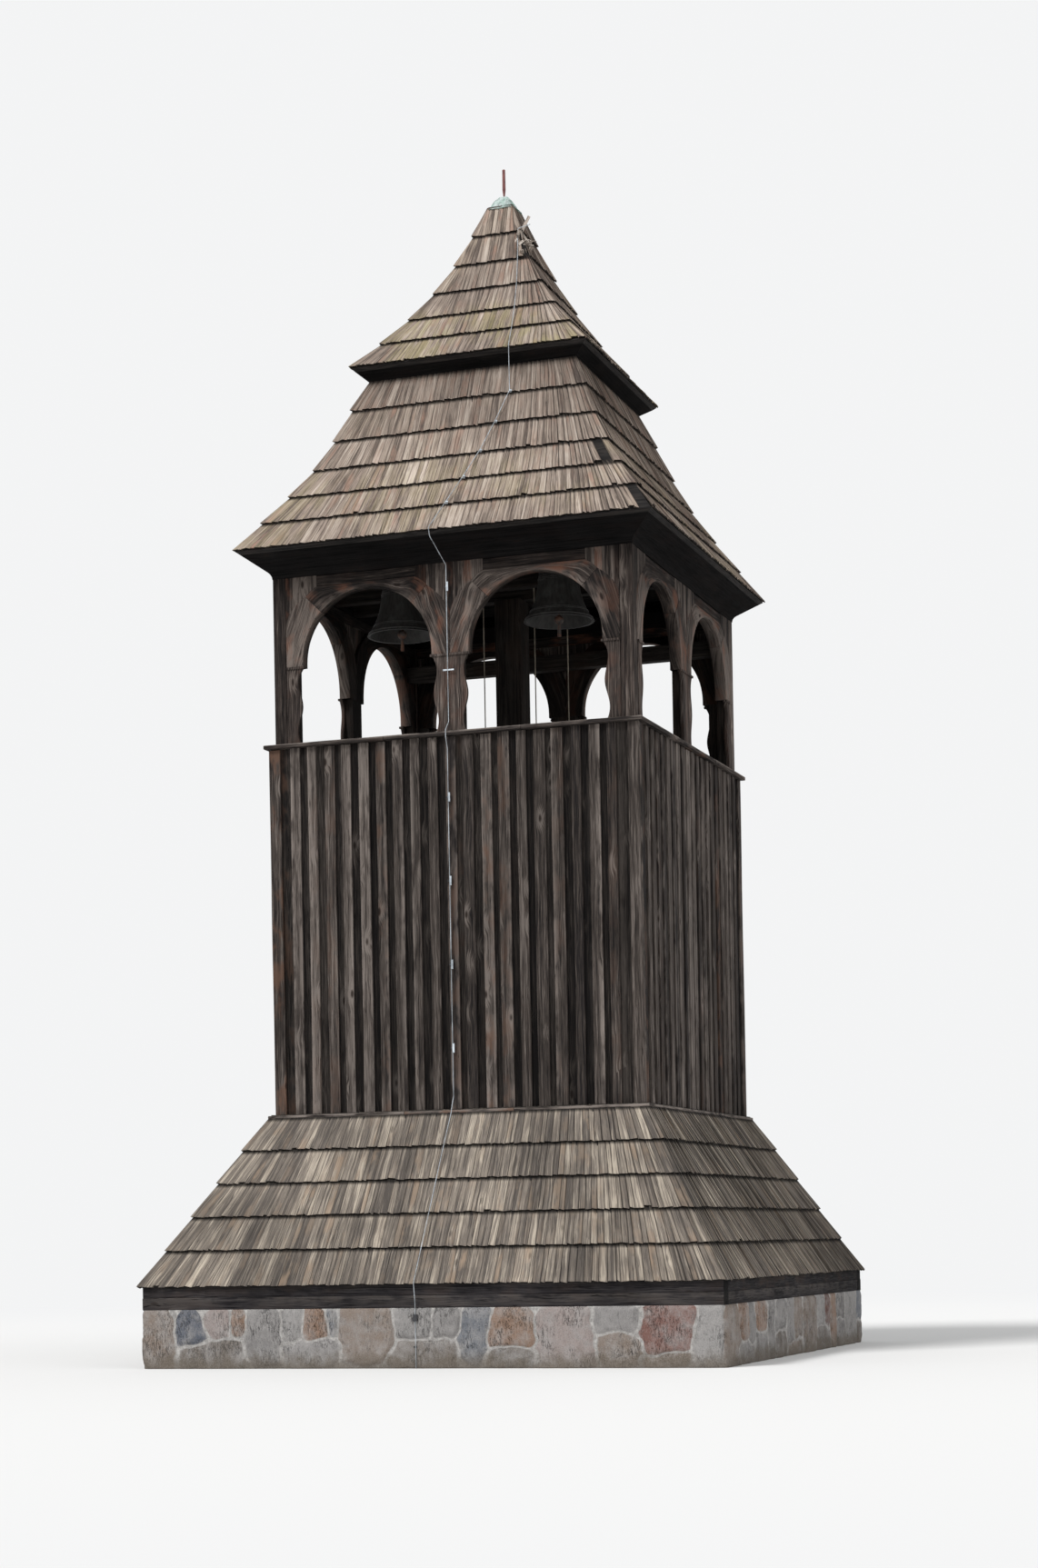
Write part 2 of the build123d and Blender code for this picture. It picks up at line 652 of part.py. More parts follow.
def conductor_holders():
    """Small clips that hold the wire to the front of the tower, about a metre apart."""
    clips = []
    off = WIRE_STANDOFF
    r = WIRE_DIAMETER / 2

    def clip(x, face, z):
        """A stem from the wall with a fork behind the wire."""
        return block(x - 28, x + 8, -face - off + r, -face, z - 8, z + 8)

    clips.append(clip(WIRE_WALL_X, belfry_half, belfry_top - HEADER_CLIP_DROP))
    clips.append(clip(WIRE_WALL_X, belfry_half, impost_z - IMPOST_CLIP_DROP))
    count = int((shaft_top - shaft_bottom) / HOLDER_SPACING)
    spare = (shaft_top - shaft_bottom - (count - 1) * HOLDER_SPACING) / 2
    for i in range(count):
        z = shaft_bottom + spare + i * HOLDER_SPACING
        clips.append(clip(WIRE_WALL_X, SHAFT_HALF, z))
    clips.append(clip(WIRE_SKIRT_EAVE_X, PLINTH_HALF, PLINTH_CLIP_Z))
    return clips


def clamp_box():
    """Dark test clamp where the wire passes the plinth."""
    y = -PLINTH_HALF - WIRE_STANDOFF
    r = WIRE_DIAMETER / 2
    x = WIRE_SKIRT_EAVE_X
    half = CLAMP_HEIGHT / 2
    case = block(x - 26, x + 26, y - 15, -PLINTH_HALF, CLAMP_Z - half, CLAMP_Z + half)
    groove = Pos(x, y, CLAMP_Z) * Cylinder(r + JOINT_GAP, 2 * CLAMP_HEIGHT)
    return case - groove


def build():
    """Make every piece and write it out."""
    upper_line = roof_line(
        (upper_eave_half, upper_eave_z), (UPPER_TOP_HALF, upper_top_z),
        UPPER_EAVE_SLOPE, UPPER_TOP_SLOPE, UPPER_BLEND)
    main_line = roof_line(
        (main_eave_half, main_eave_z), (MAIN_TOP_HALF, main_top_z),
        MAIN_EAVE_SLOPE, MAIN_TOP_SLOPE, MAIN_BLEND)
    upper_marks = course_marks(upper_line, UPPER_COURSES)
    main_marks = course_marks(main_line, MAIN_COURSES)

    save("plinth", plinth())
    save("sill_lower", sill_ring(PLINTH_HEIGHT))
    save("sill_upper", sill_ring(PLINTH_HEIGHT + SILL_BEAM_HEIGHT))
    skirt = skirt_side()
    lower_ledge = ledge(lower_ledge_half, shaft_inner, skirt_top_z, LOWER_LEDGE_THICKNESS)
    save("lower_ledge", all_round([lower_ledge]))
    upper_ledge = ledge(upper_ledge_half, arcade_inner - 60.0, shaft_top, UPPER_LEDGE_THICKNESS)
    save("upper_ledge", all_round([upper_ledge]))
    floor_z = shaft_top - FLOOR_THICKNESS
    save("belfry_floor", block(-shaft_inner, shaft_inner, -shaft_inner, shaft_inner, floor_z, shaft_top))

    main_outline, main_under = shingled(main_marks)
    main_side = mitred(chain([(p.X, p.Y) for p in main_outline]))
    upper_outline, upper_under = shingled(upper_marks)
    upper_side = mitred(chain([(p.X, p.Y) for p in upper_outline]), z1=upper_top_z)
    cove_side, lip, upper, arc_high, inner_start = main_soffit(main_marks, main_under)
    eave = eave_beam(main_marks, main_under, lip, upper, arc_high, inner_start)
    soffit, upper_lip, upper_head = upper_soffit(main_marks, upper_marks, upper_under)
    upper_eave = upper_eave_beam(main_marks, main_under, upper_marks, upper_lip, upper_head)
    arches = arch_boards()
    for side in SIDES:
        save(f"skirt_roof_{side}", turned([skirt], side))
        save(f"shaft_wall_{side}", turned([shaft_wall(side in ("left", "right"))], side))
        save(f"arch_timbers_{side}", turned(arches, side))
        save(f"main_roof_{side}", turned([main_side], side))
        save(f"upper_roof_{side}", turned([upper_side], side))
    save("soffits", all_round([cove_side, soffit]))
    save("eave_beams", all_round([eave, upper_eave]))
    save("corner_posts", corner_posts())
    save("arcade_posts", all_round(arcade_posts()))
    save("jamb_boards", all_round(jambs()))
    save("impost_ledges", all_round(imposts()))
    save("roof_cap", roof_cap())
    save("finial_spike", finial_spike())

    save("bell_frame", bell_frame())
    save("bearing_blocks", bearings())
    for side, x in (("left", -BELL_X), ("right", BELL_X)):
        save(f"bell_{side}", bell(x))
        save(f"yoke_{side}", yoke(x))
        save(f"clapper_{side}", clapper(x))
    save("bell_ropes", bell_ropes())

    save("conductor_wire", conductor(wire_route(upper_marks, main_marks)))
    save("conductor_fittings", Compound(conductor_holders() + [clamp_box()]))


build()
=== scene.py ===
"""Looks of a shingled timber bell tower on a fieldstone plinth, built round its packed CAD frame.

Every length is in metres in the frame's own axes: the origin is the middle of the plinth on the
ground, +Z is up, the front faces -Y. A side is worked out as the front and turned about Z.
"""

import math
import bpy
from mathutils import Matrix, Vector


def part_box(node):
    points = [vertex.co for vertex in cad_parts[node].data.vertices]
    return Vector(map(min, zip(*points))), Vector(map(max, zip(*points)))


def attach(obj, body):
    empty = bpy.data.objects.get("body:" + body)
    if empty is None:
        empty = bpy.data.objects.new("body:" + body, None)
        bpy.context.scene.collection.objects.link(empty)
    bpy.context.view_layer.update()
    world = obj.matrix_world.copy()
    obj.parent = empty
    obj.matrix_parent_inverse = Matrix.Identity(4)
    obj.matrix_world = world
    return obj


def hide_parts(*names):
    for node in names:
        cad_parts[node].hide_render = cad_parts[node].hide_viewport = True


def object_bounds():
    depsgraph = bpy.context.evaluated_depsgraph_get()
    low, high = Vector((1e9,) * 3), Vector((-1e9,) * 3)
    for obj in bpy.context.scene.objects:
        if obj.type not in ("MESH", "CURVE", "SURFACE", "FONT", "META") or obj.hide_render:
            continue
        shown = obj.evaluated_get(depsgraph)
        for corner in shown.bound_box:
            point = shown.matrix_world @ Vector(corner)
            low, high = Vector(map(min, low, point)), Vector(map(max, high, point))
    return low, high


bl_info = {
    "name": "Timber bell tower",
    "version": (1, 0, 0),
    "blender": (4, 5, 0),
    "location": "View3D > Sidebar > Bell Tower",
    "description": "Builds the shingles, boards, stones, metalwork and stage of a timber bell tower",
    "category": "Add Mesh",
}

import bmesh
import bpy
import numpy as np
from bpy.props import FloatProperty, FloatVectorProperty, IntProperty, PointerProperty
from mathutils import Matrix, Vector

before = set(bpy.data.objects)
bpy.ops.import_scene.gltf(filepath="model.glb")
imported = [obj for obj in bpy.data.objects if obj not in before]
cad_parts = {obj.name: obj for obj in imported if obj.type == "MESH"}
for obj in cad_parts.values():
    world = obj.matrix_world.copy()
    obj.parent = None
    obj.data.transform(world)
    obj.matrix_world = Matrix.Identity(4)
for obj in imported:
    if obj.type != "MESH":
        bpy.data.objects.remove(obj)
cad_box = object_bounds()

SIDES = ("front", "right", "rear", "left")
TOWER = "tower"

# Heights and half widths read from the frame.
SHAFT_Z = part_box("shaft_wall_front")[0][2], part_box("shaft_wall_front")[1][2]
SHAFT_HALF = -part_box("shaft_wall_front")[0][1]
BELFRY_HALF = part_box("corner_posts")[1][0]
BELFRY_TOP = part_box("corner_posts")[1][2]
IMPOST_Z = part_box("impost_ledges")[0][2]
# Sizes inside a node that its box does not give: the height of a bell's side, the ropes' places across
# the tower, half widths of the cap's crown and of the middle post, and the height of that post's head.
BELL_RISE = 0.700
ROPE_PLACES = (-0.165, 0.510, 0.940)
CAP_CROWN = 0.058
MIDDLE_POST_HALF = 0.176
MIDDLE_POST_TOP = 9.6
# How far a piece stays inside a box of the CAD, so that no two faces lie in one plane.
MARGIN = 0.0005
LIMIT = np.array(cad_box[0]) + MARGIN, np.array(cad_box[1]) - MARGIN
# Bevel on the edges of boards and beams.
BEVEL = 0.004
# Grain patterns: the most that one item's is moved, the step from one side of the tower to the next, and
# how far it moves for each metre of depth, so that two faces of one timber differ.
GRAIN_SHIFT = 40.0
GRAIN_SIDE_STEP = 11.0
GRAIN_SLANT = 0.93

# Settings.


def metres(name, text, default, low=0.0):
    """A length property."""
    return FloatProperty(name=name, description=text, default=default, min=low, max=100.0, unit="LENGTH")


def colour(name, text, default):
    """A linear colour property."""
    return FloatVectorProperty(name=name, description=text, default=default, size=3, min=0.0, max=1.0,
                               subtype="COLOR")


def angle(name, text, degrees):
    """An angle property."""
    return FloatProperty(name=name, description=text, default=math.radians(degrees), subtype="ANGLE")


def whole(name, text, default, low=1):
    """A whole number property."""
    return IntProperty(name=name, description=text, default=default, min=low)


def strength(name, text, default):
    """A property for the strength of a light."""
    return FloatProperty(name=name, description=text, default=default, min=0.0)


class RoofSettings(bpy.types.PropertyGroup):
    """Lines of the three shingled slopes and the size of their shingles."""

    skirt_eave: metres("Skirt eave", "Half width at the foot of the skirt roof", 3.600)
    skirt_eave_z: metres("Skirt foot", "Height of the skirt roof's foot", 0.990)
    skirt_top: metres("Skirt head", "Half width at the head of the skirt roof", 2.425)
    skirt_top_z: metres("Skirt head height", "Height of the skirt roof's head", 2.990)
    skirt_drop: metres("Skirt drop", "How far the lowest skirt course hangs past its foot", 0.032)
    skirt_courses: whole("Skirt courses", "Courses of shakes on the skirt", 5)
    main_eave: metres("Main eave", "Half width at the main eave", 2.640)
    main_eave_z: metres("Main eave height", "Height of the main eave", 9.900)
    main_top: metres("Main head", "Half width at the head of the main roof", 1.343)
    main_rise: metres("Main roof height", "Height of the main roof above its eave", 2.280)
    main_low_slope: angle("Main eave slope", "Slope of the main roof at its eave", 54.2)
    main_high_slope: angle("Main head slope", "Slope of the main roof at its head", 67.0)
    main_blend: metres("Main bend", "Length of the soft bend on each side of the knee", 0.420)
    main_courses: whole("Main courses", "Courses of shingles on the main roof", 6)
    upper_eave: metres("Upper eave", "Half width at the upper eave", 1.530)
    upper_eave_z: metres("Upper eave height", "Height of the upper eave", 12.320)
    upper_top: metres("Upper head", "Half width at the head of the upper roof", 0.160)
    upper_rise: metres("Upper roof height", "Height of the upper roof above its eave", 2.280)
    upper_low_slope: angle("Upper eave slope", "Slope of the upper roof at its eave", 48.5)
    upper_high_slope: angle("Upper head slope", "Slope of the upper roof at its head", 70.0)
    upper_blend: metres("Upper bend", "Length of the soft bend on each side of the knee", 1.000)
    upper_courses: whole("Upper courses", "Courses of shingles on the upper roof", 6)
    butt: metres("Butt height", "Height of a shingle's lower end above the roof line", 0.030)
    deck: metres("Roof boards", "Thickness of the boarding under the shingles", 0.060)
    shake_width: metres("Shake width", "Mean width of a shake on the skirt", 0.080)
    shingle_width: metres("Shingle width", "Mean width of a shingle on the two roofs", 0.071)
    ragged: metres("Ragged ends", "How unevenly the lower ends line up", 0.014)
    lap: metres("Lap", "How far a shingle runs under the next course", 0.060)


class BoardSettings(bpy.types.PropertyGroup):
    """The boarded shaft, its ledges and the sill beams."""

    wall_half: metres("Wall", "Half width of the shaft over its outer boards", 2.360)
    wall_low: metres("Wall foot", "Height of the lower end of the boards", 3.030)
    wall_high: metres("Wall head", "Height of the upper end of the boards", 7.510)
    board: metres("Board thickness", "Thickness of the outer boards", 0.028)
    count: whole("Boards", "Outer boards on each side", 21, 2)
    share: FloatProperty(name="Outer share", description="Share of the width that the outer boards cover",
                         default=0.58, min=0.3, max=0.9, subtype="FACTOR")
    sill_half: metres("Sill", "Half width of the sill beams", 3.590)
    sill_low: metres("Sill foot", "Height of the lower sill beam's underside", 0.700)
    sill_beam: metres("Sill beam", "Height of one sill beam", 0.145)


class ArcadeSettings(bpy.types.PropertyGroup):
    """The open belfry with two arches a side."""

    half: metres("Belfry", "Half width of the belfry", 2.300)
    depth: metres("Timber depth", "Depth of the arch timbers", 0.150)
    field: metres("Field", "Half width between the corner posts", 2.130)
    radius: metres("Arch radius", "Radius of an arch", 0.840)
    timber: metres("Arch timber", "Height of an arch timber from its inner edge to its outer one", 0.283)
    bay: metres("Bay centre", "Distance of an arch's middle from the middle of the side", 1.075)
    spring: metres("Springing", "Height of the arches' centres", 8.560)
    base: metres("Impost top", "Height of the top of the impost ledges", 8.506)
    header: metres("Header", "Height of the header's underside", 9.470)
    top: metres("Belfry top", "Height of the top of the header", 9.600)


class StoneSettings(bpy.types.PropertyGroup):
    """The fieldstone plinth."""

    half: metres("Plinth", "Half width of the plinth", 3.600)
    height: metres("Plinth height", "Height of the plinth", 0.700)
    wall: metres("Plinth wall", "Thickness of the plinth wall", 0.600)
    cell: metres("Relief step", "Grid step of the stones' relief", 0.0175)
    joint: metres("Joint", "Mean half width of the pointing between stones", 0.013)


class ConductorSettings(bpy.types.PropertyGroup):
    """The lightning conductor's clips, on the line that its wire takes."""

    standoff: metres("Standoff", "Distance of the wire from what it passes", 0.026)
    wall_x: metres("Wall place", "Place of the wire across the front on the walls", -0.020, -10.0)
    upper_eave_x: metres("Upper eave place", "Place of the wire across the upper eave", 0.565, -10.0)
    main_eave_x: metres("Main eave place", "Place of the wire across the main eave", -0.100, -10.0)
    spacing: metres("Clip spacing", "Height from one wall clip to the next", 1.0)


class ColourSettings(bpy.types.PropertyGroup):
    """Finishes of the timber, stone and metal."""

    roof_dark: colour("Roof dark", "Darkest weathered shingle wood", (0.105, 0.082, 0.070))
    roof_mid: colour("Roof middle", "Common weathered shingle wood", (0.305, 0.243, 0.200))
    roof_pale: colour("Roof pale", "Sun-bleached shingle wood", (0.60, 0.515, 0.44))
    skirt_dark: colour("Skirt dark", "Darkest shake wood", (0.080, 0.069, 0.061))
    skirt_mid: colour("Skirt middle", "Common shake wood", (0.178, 0.151, 0.127))
    skirt_pale: colour("Skirt pale", "Bleached shake wood", (0.48, 0.415, 0.335))
    wall_dark: colour("Wall dark", "Darkest wall board wood", (0.014, 0.012, 0.012))
    wall_mid: colour("Wall middle", "Common wall board wood", (0.050, 0.041, 0.036))
    wall_pale: colour("Wall pale", "Bleached wall board wood", (0.22, 0.188, 0.168))
    arch_dark: colour("Arcade dark", "Darkest arcade wood", (0.013, 0.011, 0.0105))
    arch_mid: colour("Arcade middle", "Common arcade wood", (0.052, 0.041, 0.036))
    arch_pale: colour("Arcade pale", "Bleached arcade wood", (0.235, 0.195, 0.17))
    red: colour("Worn red", "Reddish wood where the grey has worn off", (0.20, 0.085, 0.052))
    lime: colour("Lime pointing", "Pale lime between the stones", (0.47, 0.45, 0.43))
    soil: colour("Soil", "Splashed earth on the plinth's foot", (0.105, 0.088, 0.070))


class StageSettings(bpy.types.PropertyGroup):
    """Camera, floor and light."""

    eye: FloatVectorProperty(name="Camera", description="Place of the camera", default=(11.62, -33.67, 1.47),
                             size=3, subtype="XYZ", unit="LENGTH")
    yaw: angle("Yaw", "Turn of the view from +Y towards -X", 19.12)
    roll: angle("Roll", "Tilt of the camera about its own axis", -1.03)
    lens: FloatProperty(name="Lens", description="Focal length in millimetres on a 36 mm long side",
                        default=64.11, min=10.0)
    shift: FloatProperty(name="Shift", description="Vertical shift of the lens as a share of the long side",
                         default=0.2904)
    key: strength("Key light", "Strength of the main soft light", 2.3)
    fill: strength("Fill light", "Strength of the second soft light", 0.55)
    sky: strength("Surround", "Strength of the even light from all round", 0.62)


SETTINGS = {
    "tower_roofs": RoofSettings,
    "tower_boards": BoardSettings,
    "tower_arcade": ArcadeSettings,
    "tower_stones": StoneSettings,
    "tower_conductor": ConductorSettings,
    "tower_colours": ColourSettings,
    "tower_stage": StageSettings,
}

# Meshes.


class Bundle:
    """Arrays of points and faces that become one mesh: quads and n-gons with a grain map and attributes."""

    def __init__(self):
        self.points, self.faces, self.maps, self.marks, self.ends, self.count = [], [], [], [], [], 0

    def add(self, points, faces, maps, ends=None, **marks):
        """Add points (n, 3), a list of face arrays (m, k), a list of map arrays (m, k, 2), and for each
        face array whether its faces are sawn or split ends."""
        n = len(points)
        self.points.append(np.asarray(points, float))
        own = {}
        for key, value in marks.items():
            own[key] = np.broadcast_to(np.asarray(value, float), (n,)) if np.ndim(value) < 2 else value
        self.marks.append(own)
        for f, m, e in zip(faces, maps, ends or (0.0,) * len(faces)):
            self.faces.append(f + self.count)
            self.maps.append(m)
            self.ends.append(np.full(len(f), float(e)))
        self.count += n

    def turn(self, quarter):
        """Turn everything about Z by a number of quarter turns."""
        c, s = ((1, 0), (0, 1), (-1, 0), (0, -1))[quarter % 4]
        spin = np.array([[c, s, 0], [-s, c, 0], [0, 0, 1]])
        self.points = [points @ spin for points in self.points]
        return self

    def take(self, other):
        """Add another bundle's arrays to this one."""
        self.points += other.points
        self.marks += other.marks
        self.faces += [f + self.count for f in other.faces]
        self.maps += other.maps
        self.ends += other.ends
        self.count += other.count


def put_mark(mesh, name, kind, domain, values):
    """Add an attribute to a mesh: a number or a colour for each point or face."""
    field = "color" if kind == "FLOAT_COLOR" else "value"
    mark = mesh.attributes.new(name, kind, domain)
    mark.data.foreach_set(field, values.astype(np.float32).ravel())


def build_mesh(name, bundle, limit=None, flat=True):
    """Put a bundle into a mesh object through foreach_set; limit is a box that points are held inside."""
    points = np.concatenate(bundle.points)
    if limit is not None:
        points = np.clip(points, limit[0], limit[1])
    mesh = bpy.data.meshes.new(name)
    mesh.vertices.add(len(points))
    mesh.vertices.foreach_set("co", points.astype(np.float32).ravel())
    totals = np.concatenate([np.full(len(f), f.shape[1]) for f in bundle.faces])
    loops = np.concatenate([f.ravel() for f in bundle.faces])
    mesh.loops.add(len(loops))
    mesh.loops.foreach_set("vertex_index", loops.astype(np.int32))
    mesh.polygons.add(len(totals))
    mesh.polygons.foreach_set("loop_start", (np.cumsum(totals) - totals).astype(np.int32))
    mesh.polygons.foreach_set("loop_total", totals.astype(np.int32))
    layer = mesh.uv_layers.new(name="grain")
    grain = np.concatenate([m.reshape(-1, 2) for m in bundle.maps])
    layer.data.foreach_set("uv", grain.astype(np.float32).ravel())
    for key in sorted({k for m in bundle.marks for k in m}):
        first = next(m[key] for m in bundle.marks if key in m)
        if np.ndim(first) == 2:
            data = np.concatenate([m[key] for m in bundle.marks])
            opaque = np.ones((len(data), 1))
            put_mark(mesh, key, "FLOAT_COLOR", "POINT", np.concatenate([data, opaque], 1))
        else:
            data = [m.get(key, np.zeros(len(p))) for m, p in zip(bundle.marks, bundle.points)]
            put_mark(mesh, key, "FLOAT", "POINT", np.concatenate(data))
    # The end mark on caps darkens sawn and split ends: partly end grain, partly painted shadow under the
    # shingle butts.
    put_mark(mesh, "end", "FLOAT", "FACE", np.concatenate(bundle.ends))
    mesh.update(calc_edges=True)
    mesh.validate()
    solid = bmesh.new()
    solid.from_mesh(mesh)
    bmesh.ops.recalc_face_normals(solid, faces=solid.faces)
    solid.to_mesh(mesh)
    solid.free()
    mesh.polygons.foreach_set("use_smooth", np.full(len(mesh.polygons), not flat))
    piece = bpy.data.objects.new(name, mesh)
    bpy.context.scene.collection.objects.link(piece)
    return piece


def place(piece, body, material, nodes=()):
    """Give a piece its material and its body, and hide the CAD nodes that it stands for."""
    piece.data.materials.clear()
    piece.data.materials.append(material)
    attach(piece, body)
    if nodes:
        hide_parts(*nodes)


def dress(nodes, material):
    """Give CAD nodes a node-based material."""
    for name in nodes:
        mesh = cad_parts[name].data
        mesh.materials.clear()
        mesh.materials.append(material)


def lofted(bundle, sections, rng, along=None, straight=None, **marks):
    """Closed bars: sections (item, station, outline point, xyz) joined station to station and capped.

    The grain map is the distance round the outline by the distance along the bar, or, where straight
    gives a direction in the front's plane, the place across and along it, as in a board that is sawn to
    a curve. It is moved by a random amount for each item so that no two show the same grain.
    """
    n, s, p, _ = sections.shape
    index = np.arange(n * s * p).reshape(n, s, p)
    ring = np.linalg.norm(np.roll(sections, -1, 2) - sections, axis=3).mean(1)
    across = np.concatenate([np.zeros((n, 1)), np.cumsum(ring, 1)], 1)
    if along is None:
        steps = np.linalg.norm(np.diff(sections.mean(2), axis=1), axis=2)
        along = np.concatenate([np.zeros((n, 1)), np.cumsum(steps, 1)], 1)
    shift = [rng.uniform(0, GRAIN_SHIFT, (n, 1)) for _ in range(2)]
    u = np.broadcast_to((across + shift[0])[:, None], (n, s, p + 1))
    v = np.broadcast_to((along + shift[1])[:, :, None], (n, s, p + 1))
    if straight is not None:
        closed = np.concatenate([sections, sections[:, :, :1]], 2)
        u = closed @ np.cross(straight, (0, 1, 0)) + GRAIN_SLANT * closed[..., 1] + shift[0][:, None]
        v = closed @ np.asarray(straight, float) + shift[1][:, None]
    a, b = index[:, :-1], index[:, 1:]
    quads = np.stack([a, np.roll(a, -1, 2), np.roll(b, -1, 2), b], -1).reshape(-1, 4)
    grain = np.stack([u, v], -1)
    corners = [grain[:, :-1, :-1], grain[:, :-1, 1:], grain[:, 1:, 1:], grain[:, 1:, :-1]]
    caps = np.concatenate([index[:, 0, ::-1], index[:, -1]])
    cap_map = np.concatenate([grain[:, 0, :-1][:, ::-1], grain[:, -1, :-1]])
    full = {}
    for key, value in marks.items():
        value = np.asarray(value, float)
        value = value.reshape(value.shape + (1,) * (3 - value.ndim))
        full[key] = np.broadcast_to(value, (n, s, p)).reshape(-1)
    quad_map = np.stack(corners, 3).reshape(-1, 4, 2)
    bundle.add(sections.reshape(-1, 3), [quads, caps], [quad_map, cap_map], (0, 1), **full)


def square_ring(bundle, outline, rng, **marks):
    """A closed outline of (distance out, height) run round the square tower and mitred at the hips."""
    outline = np.asarray(outline, float)
    p = len(outline)
    corners = np.array([[-1, -1], [1, -1], [1, 1], [-1, 1]], float)
    heights = np.broadcast_to(outline[None, :, 1:], (4, p, 1))
    points = np.concatenate([corners[:, None, :] * outline[None, :, :1], heights], 2)
    index = np.arange(4 * p).reshape(4, p)
    nxt = np.roll(index, -1, 0)
    quads = np.stack([index, np.roll(index, -1, 1), np.roll(nxt, -1, 1), nxt], -1).reshape(-1, 4)
    step = np.linalg.norm(np.roll(outline, -1, 0) - outline, axis=1)
    u = np.concatenate([[0], np.cumsum(step)]) + rng.uniform(0, GRAIN_SHIFT)
    r, q = outline[:, 0], np.roll(outline[:, 0], -1)
    side = GRAIN_SIDE_STEP * np.arange(4)[:, None]
    corner_maps = ((u[:-1], side - r), (u[1:], side - q), (u[1:], side + q), (u[:-1], side + r))
    maps = np.stack([np.stack([np.broadcast_to(a, (4, p)), b], -1) for a, b in corner_maps], 2)
    bundle.add(points.reshape(-1, 3), [quads], [maps.reshape(-1, 4, 2)], **marks)


def wander(rng, items, t, size):
    """A smooth random line for each item: a sum of sines of t with random phase, (items, len(t))."""
    total = np.zeros((items, len(t)))
    for k, w in enumerate((0.35, 0.9, 2.1)):
        phase = rng.uniform(0, 2 * np.pi, (items, 1))
        rate = w * rng.uniform(0.8, 1.25, (items, 1))
        total += np.sin(2 * np.pi * rate * t[None, :] + phase) * rng.uniform(0.4, 1.0, (items, 1)) / (k + 1)
    return size * total


def board_outline(width, low, high):
    """Ten points round a board's section, (..., 10, 2), across and out from the wall; the front edges are
    bevelled, and rubbed as far as the rim."""
    half, cut = width / 2, BEVEL
    rim = np.minimum(0.016, half * 0.5)
    x = [-half, -half, cut - half, rim - half, 0 * half, half - rim, half - cut, half, half, 0 * half]
    y = [low, high - cut, high, high, high, high, high, high - cut, low, low]
    return np.stack([np.stack(x, -1), np.stack(y, -1)], -1)


# How far each of those ten points is rubbed where a board's left or right edge is worn.
LEFT_EDGE = np.array([0.2, 1.0, 1.0, 0.75, 0.0, 0.0, 0.0, 0.0, 0.0, 0.0])
RIGHT_EDGE = np.array([0.0, 0.0, 0.0, 0.0, 0.0, 0.75, 1.0, 1.0, 0.2, 0.0])


# Roofs.


def quadratic(start, knee, end, t):
    """Points (1 - t)^2 start + 2 t (1 - t) knee + t^2 end of a quadratic curve."""
    return (1 - t) ** 2 * start + 2 * t * (1 - t) * knee + t ** 2 * end


def roof_marks(eave, eave_z, top, top_z, low_slope, high_slope, blend, courses):
    """Course marks on a bell-cast roof line, (courses + 1, 2) as (distance out, height).

    Two straight stretches at the eave and head slopes meet in a knee, which a quadratic curve of the
    blend's length rounds off; the marks divide the line's length evenly.
    """
    foot, head = np.array([eave, eave_z]), np.array([top, top_z])
    low = np.array([-math.cos(low_slope), math.sin(low_slope)])
    high = np.array([-math.cos(high_slope), math.sin(high_slope)])
    span = head - foot
    run = (span[0] * high[1] - span[1] * high[0]) / (low[0] * high[1] - low[1] * high[0])
    knee = foot + low * run
    below = knee - low * min(blend, 0.9 * run)
    above = knee + high * min(blend, 0.9 * np.linalg.norm(head - knee))
    t = np.linspace(0, 1, 400)[:, None]
    bend = quadratic(below, knee, above, t)
    line = np.concatenate([foot + (below - foot) * t, bend, above + (head - above) * t])
    length = np.concatenate([[0], np.cumsum(np.linalg.norm(np.diff(line, axis=0), axis=1))])
    at = np.linspace(0, length[-1], courses + 1)
    return np.stack([np.interp(at, length, line[:, 0]), np.interp(at, length, line[:, 1])], 1)


def main_marks(s):
    """Course marks of the main roof."""
    head_z = s.main_eave_z + s.main_rise
    return roof_marks(s.main_eave, s.main_eave_z, s.main_top, head_z,
                      s.main_low_slope, s.main_high_slope, s.main_blend, s.main_courses)


def upper_marks(s):
    """Course marks of the upper roof."""
    head_z = s.upper_eave_z + s.upper_rise
    return roof_marks(s.upper_eave, s.upper_eave_z, s.upper_top, head_z,
                      s.upper_low_slope, s.upper_high_slope, s.upper_blend, s.upper_courses)


def straight_marks(eave, eave_z, top, top_z, courses):
    """Course marks on a straight slope."""
    t = np.linspace(0, 1, courses + 1)[:, None]
    return np.array([eave, eave_z]) * (1 - t) + np.array([top, top_z]) * t


def slope_of(low, high):
    """Unit vectors along a course, up the roof, and square to it, out of the roof."""
    along = (high - low) / np.linalg.norm(high - low)
    return along, np.array([along[1], -along[0]])


